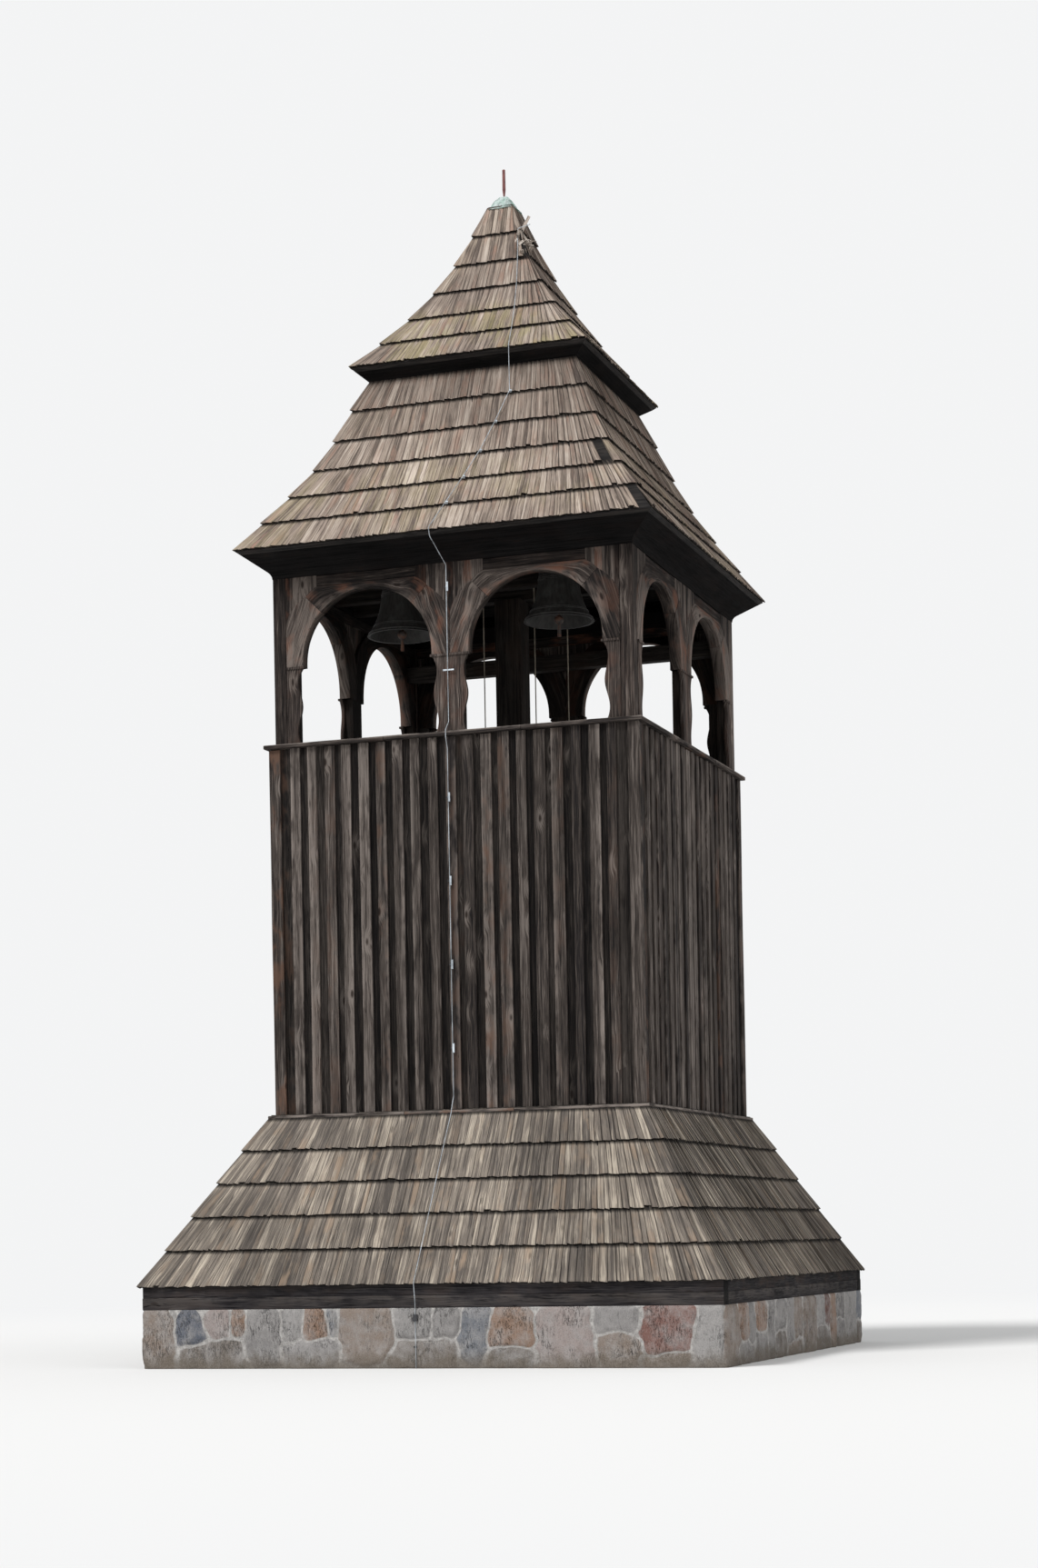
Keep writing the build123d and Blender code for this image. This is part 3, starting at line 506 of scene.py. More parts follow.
def shingle_course(bundle, low, high, width, settings, rng, drop, gone, lifted, age, lap, cover):
    """One course of shingles on the front slope.

    A joint at share s of the half width stands at x = s * (r0 (1 - w) + r w) with w = |s|^1.6, where r0
    is the half width at the course's foot and r the one at the point's own height, so that joints run
    straight up in the middle and along the hip at the ends. Heights above the roof line fall from the
    butt to nearly nothing under the next course, and each shingle is thicker at its left edge. Cover is
    painted shade from an eave above, and browner wood there. The shade mark paints a shadow band under
    the next course's butts and darkens the side edges, partly as dark joints and partly as painted shade.
    """
    along, out = slope_of(low, high)
    length = np.linalg.norm(high - low)
    n = max(4, int(round(2 * low[0] / width)))
    steps = rng.uniform(0.62, 1.38, n)
    joints = np.concatenate([[0], np.cumsum(steps)]) / steps.sum() * 2 - 1
    left, right = joints[:-1], joints[1:]
    butt = settings.butt - rng.uniform(0, 0.006, n)
    thick = rng.uniform(0.013, 0.019, n)
    start = -drop + rng.uniform(-0.2, 0.8, n) * settings.ragged
    slip = rng.random(n) < 0.03
    start = np.where(slip, start + rng.uniform(0.01, 0.03, n), start)
    skew = rng.normal(0, 0.004, n)
    lift = np.where(rng.random(n) < 0.05, rng.uniform(0.002, 0.006, n), 0.0)
    gap = rng.uniform(0.0012, 0.0045, n)
    cup = rng.normal(0.0, 0.0012, n)
    wedge = rng.uniform(0.0015, 0.0060, n)
    upper = [np.full(n, at) for at in (length - 0.050, length - 0.012, length + lap)]
    place_along = np.stack([start, start + 0.022, *upper], 1)
    t = (place_along - place_along[:, :1]) / (place_along[:, -1:] - place_along[:, :1])
    share = np.clip(place_along / length, 0, 1)
    top = (butt + lift)[:, None] * (1 - share) + 0.003 * share - 0.004 * (t == 1.0)
    bottom = top - thick[:, None] * (1 - 0.6 * t)
    for k, amount in lifted:
        i = int(k * n) if k < 1 else n - 1
        curl = amount * np.array([1.0, 0.9, 0.15, 0.0, 0.0])
        top[i] += curl
        bottom[i] += curl
    sections = np.zeros((n, 5, 6, 3))
    inset = 0.009 / low[0]
    for j, (edge, level, side, shift) in enumerate((
        (left, bottom, 1, 0), (left, top, 1, 0), (left + inset, top, 1, 1),
        (right - inset, top, -1, 1), (right, top, -1, 0), (right, bottom, -1, 0),
    )):
        tilt = wedge[:, None] * side if level is top else 0.0
        height = level + 0.0012 * shift + cup[:, None] * shift * side + tilt
        r = low[0] + along[0] * place_along
        reach = r + height * out[0]
        w = np.abs(edge)[:, None] ** 1.6
        x = edge[:, None] * (low[0] * (1 - w) + reach * w) + side * gap[:, None] / 2
        a = place_along + (skew * side * -1)[:, None] * (1 - t)
        sections[:, :, j, 0] = x
        sections[:, :, j, 1] = -(low[0] + along[0] * a + height * out[0])
        sections[:, :, j, 2] = low[1] + along[1] * a + height * out[1]
    slow = 0.10 * np.sin(np.arange(n) * 0.29 + rng.uniform(0, 6))
    tone = np.clip(rng.beta(3.0, 3.0, n) + slow + (rng.random(n) < 0.08) * rng.uniform(-0.3, 0.3, n), 0, 1)
    # The shade mark: a little at the butt, a painted shadow band just under the next course's butts, and
    # darker side edges, partly dark joints and partly painted shade.
    shade = np.zeros((n, 5, 6))
    shade[:, 0] = 0.12
    shade[:, 3:] = 1.0
    shade[:, :3, [0, 1]] = rng.uniform(0.30, 0.75, (n, 1, 1))
    shade[:, :3, [4, 5]] = rng.uniform(0.65, 1.0, (n, 1, 1))
    # Cover adds painted shade from the eave above; below it also makes the wood browner.
    shade = np.maximum(shade, cover * np.array([0.6, 0.8, 1.0, 1.0, 1.0])[:, None])
    keep = np.ones(n, bool)
    for k in gone:
        keep[int(k * n) if k < 1 else n - 1] = False
    warm = np.maximum(rng.random(n) ** 2.2, cover)
    lofted(bundle, sections[keep], rng, along=place_along[keep] - place_along[keep][:, :1],
           tone=tone[keep], warm=warm[keep], shade=shade[keep], age=np.full(keep.sum(), age))


def roof_side(name, marks, width, settings, rng, quarter, drop=0.0, damage=None, ages=None, lap_last=None,
              covers=None):
    """All courses of one side in one mesh; damage maps a course to (gone, lifted) shares, and lap_last is
    how far the last course runs past the roof's head."""
    bundle = Bundle()
    for i in range(len(marks) - 1):
        gone, lifted = (damage or {}).get(i, ((), ()))
        lap = settings.lap if lap_last is None or i < len(marks) - 2 else lap_last
        shingle_course(bundle, marks[i], marks[i + 1], width, settings, rng, drop if i == 0 else 0.0,
                       gone, lifted, ages[i] if ages else 0.0, lap, covers.get(i, 0.0) if covers else 0.0)
    bundle.turn(quarter)
    return build_mesh(name, bundle, LIMIT)


def deck_outline(marks, thick):
    """Outline of the boarding under the shingles: the marks, and the same line one thickness lower."""
    under = []
    for i in range(len(marks)):
        a = slope_of(marks[max(i - 1, 0)], marks[max(i - 1, 0) + 1])[1]
        j = min(i, len(marks) - 2)
        b = slope_of(marks[j], marks[j + 1])[1]
        middle = (a + b) / np.linalg.norm(a + b)
        under.append(marks[i] - middle * thick / middle.dot(b))
    return list(marks) + under[::-1]


def roof_deck(name, outline, rng):
    """The boarding under one roof, run round the tower."""
    bundle = Bundle()
    square_ring(bundle, outline, rng, tone=0.3, warm=0.2, shade=0.35)
    return build_mesh(name, bundle)


# Boards and beams.


def painted_eave_shade(z):
    """Painted shade close under the main eave: nothing 0.8 m below it, 0.62 at its height."""
    return 0.62 * np.clip((z - BELFRY_TOP) / 0.8 + 1, 0, 1) * (z < BELFRY_TOP + 0.01)


def upright_boards(bundle, centres, widths, low, high, inner, outer, rng, wobble=0.004, stations=20,
                   tone=None, shade=(0.0, 0.0)):
    """Upright boards on the front: centre and width wander with height, the section is a bevelled bar."""
    n = len(centres)
    t = np.linspace(0, 1, stations)
    low, high = np.broadcast_to(low, (n,)), np.broadcast_to(high, (n,))
    z = low[:, None] + (high - low)[:, None] * t
    x = centres[:, None] + wander(rng, n, t, wobble)
    width = widths[:, None] + wander(rng, n, t, wobble * 0.7)
    face = outer + wander(rng, n, t, 0.0012) - rng.uniform(0, 0.003, (n, 1))
    section = board_outline(width, np.full((n, stations), inner), face)
    cup = rng.normal(0, 0.0012, (n, 1))
    section[..., 4, 1] += cup
    points = np.zeros((n, stations, 10, 3))
    points[..., 0] = x[..., None] + section[..., 0]
    points[..., 1] = -section[..., 1]
    points[..., 2] = z[..., None]
    tone = rng.beta(2, 2, n) if tone is None else tone
    warm = rng.random(n) ** 9
    # Painted shade near the main eave is added to the shade mark.
    dark = np.broadcast_to(shade[0] + (shade[1] - shade[0]) * t + painted_eave_shade(z), (n, stations))
    left, right = (rng.uniform(0.6, 1.0, (n, 1, 1)) * (rng.random((n, 1, 1)) < 0.45) for _ in range(2))
    wear = (LEFT_EDGE * left + RIGHT_EDGE * right) * np.ones((1, stations, 1))
    lofted(bundle, points, rng, along=z - z[:, :1], tone=tone, warm=warm, shade=dark, wear=wear)


def shaft_side(name, s, rng, quarter):
    """One boarded wall of the shaft: inner boards, and outer boards that lap over their joints."""
    bundle = Bundle()
    back = s.wall_half - s.board
    cover = quarter % 2 == 0
    shy, inner_board, gap = 0.002, 0.025, 0.004
    outer_reach = (s.wall_half if cover else back) - shy
    inner_reach = back if cover else back - inner_board - 0.001
    pitch = 2 * outer_reach / s.count
    middle = -outer_reach + pitch * (np.arange(s.count) + 0.5)
    width = pitch * s.share * rng.uniform(0.88, 1.14, s.count)
    middle[1:-1] += rng.uniform(-0.008, 0.008, s.count - 2)
    middle[0], middle[-1] = -outer_reach + width[0] / 2, outer_reach - width[-1] / 2
    low = s.wall_low + rng.uniform(0.0, 0.012, s.count)
    high = s.wall_high - rng.uniform(0.0, 0.014, s.count)
    upright_boards(bundle, middle, width, low, high, back - 0.001, s.wall_half, rng)
    joints = middle[1:-1] + rng.uniform(-0.01, 0.01, s.count - 2)
    edges = np.concatenate([[-inner_reach], joints, [inner_reach]])
    middle, width = (edges[:-1] + edges[1:]) / 2, np.diff(edges) - gap
    # The inner boards have a lower tone of their own, and painted shade for the recesses between the outer
    # boards.
    tone = 0.7 * rng.beta(2, 3, s.count - 1)
    upright_boards(bundle, middle, width, s.wall_low, s.wall_high, back - inner_board, back, rng,
                   wobble=0.0015, stations=10, tone=tone, shade=(0.75, 0.66))
    bundle.turn(quarter)
    return build_mesh(name, bundle)


def ring_boards(bundle, profile, worn, breaks, rng, wobble, stations):
    """Boards that run round the tower: an outline of (distance out, height) carried along each side.

    A point at share s of the half width stands at x = s * (m (1 - w) + r w) with w = |s|^8, so the ends
    are mitred at the hips and the joints between are square; edges wander by a sum of sines. Worn gives
    the places in the outline of the points that are rubbed pale.
    """
    profile = np.asarray(profile, float)
    mean, gap = profile[:, 0].max(), 0.003
    for quarter in range(4):
        part = Bundle()
        joints = np.sort(np.asarray(breaks) + rng.uniform(-0.06, 0.06, len(breaks)))
        cuts = np.concatenate([[-1.0], joints, [1.0]])
        for a, b in zip(cuts[:-1], cuts[1:]):
            ends = [a + (gap / mean if a > -1 else 0), b - (gap / mean if b < 1 else 0)]
            t = np.linspace(0, 1, stations)
            s = ends[0] + (ends[1] - ends[0]) * t
            fade = np.minimum(1, 12 * (1 - np.abs(s)))
            dr = wander(rng, 1, t, wobble)[0] * fade
            dz = wander(rng, 1, t, wobble)[0] * fade
            w = np.abs(s)[:, None] ** 8
            r = profile[None, :, 0] + dr[:, None] * (profile[None, :, 0] > profile[:, 0].mean())
            points = np.zeros((1, stations, len(profile), 3))
            points[0, :, :, 0] = s[:, None] * (mean * (1 - w) + r * w)
            points[0, :, :, 1] = -r
            points[0, :, :, 2] = profile[None, :, 1] + dz[:, None]
            wear = np.isin(np.arange(len(profile)), worn) * np.ones((1, stations, 1))
            lofted(part, points, rng, tone=rng.beta(2, 2), warm=rng.random() ** 4, shade=0.0, wear=wear)
        bundle.take(part.turn(quarter))


def bar_profile(r0, r1, z0, z1, cut):
    """A bevelled bar's outline as (distance out, height)."""
    front = [(r1 - cut, z0), (r1, z0 + cut), (r1, (z0 + z1) / 2), (r1, z1 - cut), (r1 - cut, z1)]
    return [(r0, z0), *front, (r0, z1)]


def straight_bars(bundle, starts, ends, half_width, half_height, rng, wobble, stations=10, up=(0, 0, 1),
                  shade=0.0, tone=None, worn=0.0):
    """Squared timbers between two points each, with bevelled edges that wander a little; worn is how
    pale their upper edges are rubbed."""
    starts, ends = np.atleast_2d(starts).astype(float), np.atleast_2d(ends).astype(float)
    n = len(starts)
    t = np.linspace(0, 1, stations)
    run = ends - starts
    run /= np.linalg.norm(run, axis=1)[:, None]
    side = np.cross(run, np.broadcast_to(up, run.shape))
    side /= np.linalg.norm(side, axis=1)[:, None]
    top = np.cross(side, run)
    middle = starts[:, None] + (ends - starts)[:, None] * t[None, :, None]
    flat = 1 - 0.12
    ring = [(-1, -flat), (-1, flat), (-flat, 1), (flat, 1), (1, flat), (1, -flat), (flat, -1), (-flat, -1)]
    ring = np.array(ring)
    a = half_width + wander(rng, n, t, wobble)
    b = half_height + wander(rng, n, t, wobble)
    points = middle[:, :, None] + side[:, None, None] * (a[..., None] * ring[None, None, :, 0])[..., None]
    points = points + top[:, None, None] * (b[..., None] * ring[None, None, :, 1])[..., None]
    wear = worn * np.array([0, 1, 1, 1, 1, 0, 0, 0]) * np.ones((n, stations, 1))
    # Painted shade near the main eave is added to the shade mark.
    shade = shade + painted_eave_shade(points[..., 2])
    lofted(bundle, points, rng, tone=rng.beta(2, 2, n) if tone is None else tone, warm=rng.random(n) ** 2.5,
           shade=shade, wear=wear)


# Belfry arcade.


def follow(points, n):
    """A polyline divided evenly by length into n points, (n, 2)."""
    points = np.asarray(points, float)
    length = np.concatenate([[0], np.cumsum(np.linalg.norm(np.diff(points, axis=0), axis=1))])
    at = np.linspace(0, length[-1], n)
    return np.stack([np.interp(at, length, points[:, 0]), np.interp(at, length, points[:, 1])], 1)


def ruled_timber(bundle, inner, outer, front, back, rng, warm, sawn=False):
    """A curved timber cut between two lines in the plane of the wall: each section is a bevelled bar
    from the inner line to the outer one. The grain follows the curve, or its chord where sawn is set."""
    span, cut = outer - inner, 0.006
    size = np.linalg.norm(span, axis=1)[:, None]
    bevel, whole_way = np.minimum(cut / size, 0.4), np.ones_like(size)
    q = [0 * size, 0 * size, bevel, 0.5 * whole_way, 1 - bevel, whole_way, whole_way, 0.5 * whole_way]
    q = np.concatenate(q, 1)
    depth = np.array([back, front - cut, front, front, front, front - cut, back, back])
    points = np.zeros((1, len(inner), 8, 3))
    points[0, :, :, 0] = inner[:, :1] + span[:, :1] * q
    points[0, :, :, 2] = inner[:, 1:] + span[:, 1:] * q
    points[0, :, :, 1] = -depth[None, :]
    # Painted shade: the back faces and the intrados, which face into the belfry, are darkened, and painted
    # shade under the main eave is added.
    dark = np.maximum(np.array([0.9, 0.25, 0, 0, 0, 0.1, 0.9, 0.95]), painted_eave_shade(points[..., 2]))
    wear = np.array([0.1, 0.7, 0.7, 0.0, 0.1, 0.3, 0.0, 0.0]) * np.ones((1, len(inner), 1))
    chord = inner[-1] + outer[-1] - inner[0] - outer[0]
    chord = np.array([chord[0], 0, chord[1]]) / np.linalg.norm(chord)
    lofted(bundle, points, rng, straight=chord if sawn else None, tone=rng.beta(2, 2), warm=warm,
           shade=dark, wear=wear)


# The boards above the arches: widths from a corner post inwards, edges in the middle of a side, and how
# far the foot of each stands above the springing.
CORNER_BOARD_WIDTHS = np.array([0.095, 0.110, 0.095, 0.110])
CORNER_BOARD_FEET = np.array([0.24, 0.34, 0.49, 0.63])
MIDDLE_BOARD_EDGES = np.array([-0.43, -0.29, -0.17, -0.06, 0.05, 0.16, 0.30, 0.43])
MIDDLE_BOARD_FEET = np.array([0.70, 0.52, 0.36, 0.24, 0.36, 0.52, 0.70])
# What a saw joint takes off each arch timber, as an angle about the arch's centre.
SAW_CUT = 0.002


def spandrel_boards(bundle, a, face, rng):
    """Upright boards above the arches, which lap a little and whose feet run into the arch timbers."""
    lap, thick = 0.002, 0.10
    corner = a.field - np.concatenate([[0.0], np.cumsum(CORNER_BOARD_WIDTHS)])
    fields = [(-corner, CORNER_BOARD_FEET), (corner, CORNER_BOARD_FEET),
              (MIDDLE_BOARD_EDGES, MIDDLE_BOARD_FEET)]
    for edges, feet in fields:
        middle, width = (edges[:-1] + edges[1:]) / 2, np.abs(np.diff(edges)) + lap
        upright_boards(bundle, middle, width, a.spring + feet, a.top, face - thick, face, rng,
                       wobble=0.001, stations=8)


def haunch_lines(a, at_corner):
    """A haunch's inner and outer lines, as distances from the bay's middle and heights.

    The inner one is a short upright and a quarter of the arch. The outer one is an upright at the jamb
    and a quadratic curve from there to the crown board's end.
    """
    edge = a.field - a.bay if at_corner else a.bay - 0.001
    start, knee = (0.42, 0.64) if at_corner else (0.37, 0.60)
    ang = np.linspace(0, math.pi / 4 - SAW_CUT, 9)
    arc = np.stack([np.cos(ang) * a.radius, a.spring + np.sin(ang) * a.radius], 1)
    inner = follow(np.concatenate([[[a.radius, a.base]], arc]), 13)
    tip = (a.radius + a.timber) * math.cos(math.pi / 4)
    ends = np.array([[edge, a.spring + start], [edge, a.spring + knee], [tip, a.spring + tip - 0.004]])
    curve = quadratic(*ends, np.linspace(0, 1, 7)[:, None])
    return inner, follow(np.concatenate([[[edge, a.base]], curve]), 13)


def crown_lines(a):
    """The crown board's inner and outer lines: arcs about the arch's centre, the outer one cut off level
    under the header."""
    ang = np.linspace(SAW_CUT - math.pi / 4, math.pi / 4 - SAW_CUT, 19)
    radii = (a.radius, a.radius + a.timber)
    inner, outer = (np.stack([np.sin(ang) * r, a.spring + np.cos(ang) * r], 1) for r in radii)
    outer[:, 1] = np.minimum(outer[:, 1], a.header - 0.003)
    return inner, outer


def arch_side(name, a, rng, quarter):
    """One side's arch timbers: for each bay two haunches and a crown board, with joints square to the arch,
    then the boards in the spandrels and a header behind them."""
    bundle = Bundle()
    front, back = a.half, a.half - a.depth
    for bay in (-1, 1):
        middle = np.array([bay * a.bay, 0.0])
        for hand in (-1, 1):
            inner, outer = (line * [hand, 1.0] + middle for line in haunch_lines(a, hand == bay))
            ruled_timber(bundle, inner, outer, front - rng.uniform(0, 0.004), back, rng,
                         warm=0.2 + 0.5 * rng.random(), sawn=True)
        inner, outer = (line + middle for line in crown_lines(a))
        ruled_timber(bundle, inner, outer, front - 0.003, back, rng, warm=0.75)
    spandrel_boards(bundle, a, front - 0.008, rng)
    header = np.array([[-a.field, a.depth / 2 - front, (a.header + a.top) / 2]])
    straight_bars(bundle, header, header * [-1, 1, 1], 0.060, (a.top - a.header) / 2, rng, wobble=0.001,
                  tone=np.array([0.3]))
    bundle.turn(quarter)
    return build_mesh(name, bundle)


# Plinth.


STONE_TINTS = {
    "grey": (0.215, 0.205, 0.200), "ash": (0.255, 0.245, 0.238), "blue": (0.150, 0.160, 0.180),
    "slate": (0.105, 0.115, 0.140), "rose": (0.275, 0.230, 0.215), "tan": (0.250, 0.165, 0.120),
    "brown": (0.225, 0.180, 0.150), "red": (0.170, 0.090, 0.075), "umber": (0.160, 0.140, 0.125),
}
# The front's upper stones from left to right: right edge and lower edge in metres, and tint.
FRONT_STONES = (
    (0.44, 0.00, "brown"), (0.84, 0.24, "slate"), (1.16, 0.36, "rose"), (1.37, 0.42, "tan"),
    (1.82, 0.08, "grey"), (2.08, 0.29, "ash"), (2.40, 0.35, "tan"), (2.56, 0.37, "blue"),
    (3.22, 0.10, "brown"), (3.70, 0.33, "ash"), (4.05, 0.36, "grey"), (4.40, 0.06, "blue"),
    (4.98, 0.26, "tan"), (5.68, 0.04, "rose"), (6.23, 0.40, "grey"), (6.84, 0.18, "red"), (7.20, 0.00, "ash"),
)


def stone_cells(rng, side, s):
    """Centres, half sizes, tints and bulges of one side's stones: (n, 2), (n, 2), (n, 3), (n,).

    An upper row of larger stones reaches down to the ground or stands on broad low ones; the front's
    upper stones stand where they do on the tower, and the other sides' are laid at random.
    """
    reach, shy, least_room, longest = 2 * s.half, 0.010, 0.13, 0.95
    uppers = list(FRONT_STONES) if side == 0 else []
    names = ("grey", "ash", "grey", "rose", "brown", "blue", "ash", "tan", "grey", "red")
    while side and (not uppers or uppers[-1][0] < reach):
        right = (uppers[-1][0] if uppers else 0.0) + rng.uniform(0.28, 0.72)
        right = reach if right > reach - 0.25 else right
        uppers.append((right, max(0.0, rng.uniform(-0.15, 0.42)), names[int(rng.integers(len(names)))]))
    boxes, left = [], 0.0
    for right, low, name in uppers:
        boxes.append((left + shy, right - shy, low, s.height - shy, *STONE_TINTS[name]))
        left = right
    ends = [row[0] for row in uppers]
    edges = list(zip([0.0] + ends, ends, [row[1] for row in uppers]))
    left, right, room = None, None, []
    for start, end, low in edges + [(reach, reach, 0.0)]:
        if low > least_room and (left is None or end - left < longest):
            left, right = start if left is None else left, end
            room.append(low)
            continue
        if left is not None:
            name = ("umber", "grey", "umber", "brown")[int(rng.integers(4))]
            boxes.append((left + shy, right - shy, 0.0, float(np.mean(room)) - shy, *STONE_TINTS[name]))
        left, right, room = (start, end, [low]) if low > least_room else (None, None, [])
    box = np.array(boxes)
    tints = box[:, 4:] * rng.uniform(0.86, 1.14, (len(box), 1))
    centre = (box[:, [0, 2]] + box[:, [1, 3]]) / 2
    half = (box[:, [1, 3]] - box[:, [0, 2]]) / 2
    return centre, half, tints, rng.uniform(0.014, 0.030, len(box))


def ripple(rng, x, z, scale):
    """Smooth noise in the plane of a wall: a sum of plane waves with random direction and phase."""
    total, count = np.zeros(np.broadcast(x, z).shape), 7
    for _ in range(count):
        a, p, f = rng.uniform(0, 2 * np.pi), rng.uniform(0, 2 * np.pi), scale * rng.uniform(0.6, 1.7)
        total += np.sin(f * (x * np.cos(a) + z * np.sin(a)) + p)
    return total / count


def plinth_wall(name, s, rng):
    """The plinth as one closed band run round the tower, its outer face raised over each stone.

    For a point on a side, moved by smooth noise, each stone has the distance d = (|x/a|^k + |z/b|^k)^(1/k)
    with k = 3.2, its axes leaning and its width tapering a little. The nearest stone owns the point, and
    the joint mark is the room to its own edge or to the next stone, whichever is less. Stones bulge with
    that mark and the pointing stands a little proud between them. Columns near a corner follow a quarter
    circle.
    """
    round_corner, power = 0.05, 3.2
    reach = s.half - 0.006
    rows = int(round(s.height / s.cell))
    columns = int(round(2 * reach / s.cell))
    z = np.linspace(0, s.height, rows + 1)
    x = np.linspace(0, 2 * s.half, columns, endpoint=False)
    outer, joint, tints = [], [], []
    for side in range(4):
        centre, half, tint, bulge = stone_cells(rng, side, s)
        gx, gz = np.meshgrid(x, z, indexing="ij")
        wx = gx + 0.045 * ripple(rng, gx, gz, 11) + 0.020 * ripple(rng, gx, gz, 34)
        wz = gz + 0.045 * ripple(rng, gx, gz, 11) + 0.020 * ripple(rng, gx, gz, 34)
        lean, taper = rng.normal(0, 0.10, len(half)), rng.normal(0, 0.16, len(half))
        dx, dz = wx[..., None] - centre[:, 0], wz[..., None] - centre[:, 1]
        upward = (dz - lean * dx * 0.5) / half[:, 1]
        across = (dx + lean * dz) / (half[:, 0] * (1 + taper * np.clip(upward, -1.2, 1.2)))
        d = (np.abs(across) ** power + np.abs(upward) ** power) ** (1 / power)
        order = np.argsort(d, axis=2)[..., :2]
        d1 = np.take_along_axis(d, order[..., :1], 2)[..., 0]
        d2 = np.take_along_axis(d, order[..., 1:2], 2)[..., 0]
        own = order[..., 0]
        size = half.min(1)[own]
        mark = np.minimum((1.30 - d1) * size, (d2 - d1) * size * 0.5) - s.joint
        rise = np.clip(mark / 0.05, 0, 1)
        rise = bulge[own] * (1 - (1 - rise) ** 2)
        lime = 0.007 * np.exp(-((mark + 0.004) / 0.010) ** 2)
        rough = 0.0035 * ripple(rng, gx, gz, 60) + 0.0025 * ripple(rng, gx, gz, 140)
        edge = np.clip((s.height - gz) / 0.05, 0, 1) ** 0.5
        relief = (np.maximum(rise, 0.0) + lime + rough) * edge * 0.98
        along = gx - s.half
        turn = np.clip((np.abs(along) - (s.half - round_corner)) / round_corner, 0, 1) * (math.pi / 4)
        r = reach + relief - 0.004
        centre_of_turn, swing = reach - round_corner, round_corner + r - reach
        px = np.sign(along) * np.where(turn > 0, centre_of_turn + swing * np.sin(turn), np.abs(along))
        py = np.where(turn > 0, centre_of_turn + swing * np.cos(turn), r)
        c, q = ((1, 0), (0, 1), (-1, 0), (0, -1))[side]
        outer.append(np.stack([c * px + q * py, q * px - c * py, gz], -1))
        joint.append(mark)
        tints.append(tint[own])
    outer, joint, tints = np.concatenate(outer), np.concatenate(joint), np.concatenate(tints)
    n, m = outer.shape[:2]
    inner_half = s.half - s.wall
    inner = np.clip(outer[:, [0, -1]], -inner_half, inner_half)
    inner[..., 2] = outer[:, [0, -1], 2]
    ring = np.concatenate([outer, inner[:, 1:], inner[:, :1]], 1)
    index = np.arange(n * (m + 2)).reshape(n, m + 2)
    nxt = np.roll(index, -1, 0)
    quads = np.stack([index, nxt, np.roll(nxt, -1, 1), np.roll(index, -1, 1)], -1).reshape(-1, 4)
    maps = np.zeros((len(quads), 4, 2))
    joint = np.concatenate([joint, np.full((n, 2), 0.05)], 1).reshape(-1)
    tints = np.concatenate([tints, np.full((n, 2, 3), 0.2)], 1).reshape(-1, 3)
    bundle = Bundle()
    bundle.add(ring.reshape(-1, 3), [quads], [maps], joint=joint, stone=tints)
    return build_mesh(name, bundle, LIMIT, flat=False)


# Finishes.


def round_ring(bundle, centre, outline):
    """A closed outline of (radius, height) turned all the way round an upright axis through centre."""
    outline = np.asarray(outline, float)
    p, count = len(outline), 64
    ang = np.linspace(0, 2 * np.pi, count, endpoint=False)
    radius = outline[None, :, 0]
    points = np.stack([
        centre[0] + radius * np.cos(ang)[:, None],
        centre[1] + radius * np.sin(ang)[:, None],
        np.broadcast_to(centre[2] + outline[None, :, 1], (count, p)),
    ], -1).reshape(-1, 3)
    index = np.arange(count * p).reshape(count, p)
    after = np.roll(index, -1, 0)
    quads = np.stack([index, after, np.roll(after, -1, 1), np.roll(index, -1, 1)], -1).reshape(-1, 4)
    bundle.add(points, [quads], [np.zeros((len(quads), 4, 2))])


# Beads round a bell: the share of its height, and the bead's radius.
BEADS = ((0.045, 0.011), (0.155, 0.007), (0.180, 0.007), (0.70, 0.006), (0.735, 0.009), (0.77, 0.006))


def bell_mouldings(name, node):
    """Raised bands round a bell: half round beads sunk in its side.

    The side's radius at a share h of the height is the quartic through the bell's own five points.
    """
    low, high = (np.array(corner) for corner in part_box(node))
    middle = (low + high) / 2
    radius, rise = (high[0] - low[0]) / 2, BELL_RISE
    share = np.array([0.0, 0.13, 0.38, 0.68, 0.86])
    line = np.polyfit(share, np.array([1.0, 0.86, 0.68, 0.58, 0.54]) * radius, 4)
    bundle = Bundle()
    turn = np.linspace(-0.5 * np.pi, 0.5 * np.pi, 7)
    for at, size in BEADS:
        r = np.polyval(line, at)
        bead = [(r - 0.012, at * rise - size)]
        bead += [(r - 0.002 + size * math.cos(a), at * rise + size * math.sin(a)) for a in turn]
        bead += [(r - 0.012, at * rise + size)]
        round_ring(bundle, (middle[0], middle[1], low[2]), bead)
    return build_mesh(name, bundle, flat=False)


def twisted_ropes(name, places, rng):
    """Laid ropes of three strands: a round bar whose radius is r (1 - d + d |cos(1.5 (a - twist z))|)."""
    low, high = (np.array(corner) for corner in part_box("bell_ropes"))
    radius = (high[1] - low[1]) / 2
    n, stations, around = len(places), 260, 12
    z = np.linspace(low[2], high[2], stations)
    ang = np.linspace(0, 2 * np.pi, around, endpoint=False)
    twist = 2 * np.pi / (9 * radius)
    r = radius * (0.78 + 0.22 * np.abs(np.cos(1.5 * (ang[None, :] - twist * z[:, None]))))
    points = np.zeros((n, stations, around, 3))
    points[..., 0] = np.asarray(places)[:, None, None] + r * np.cos(ang)
    points[..., 1] = (low[1] + high[1]) / 2 + r * np.sin(ang)
    points[..., 2] = z[:, None]
    bundle = Bundle()
    lofted(bundle, points, rng)
    return build_mesh(name, bundle, flat=False)


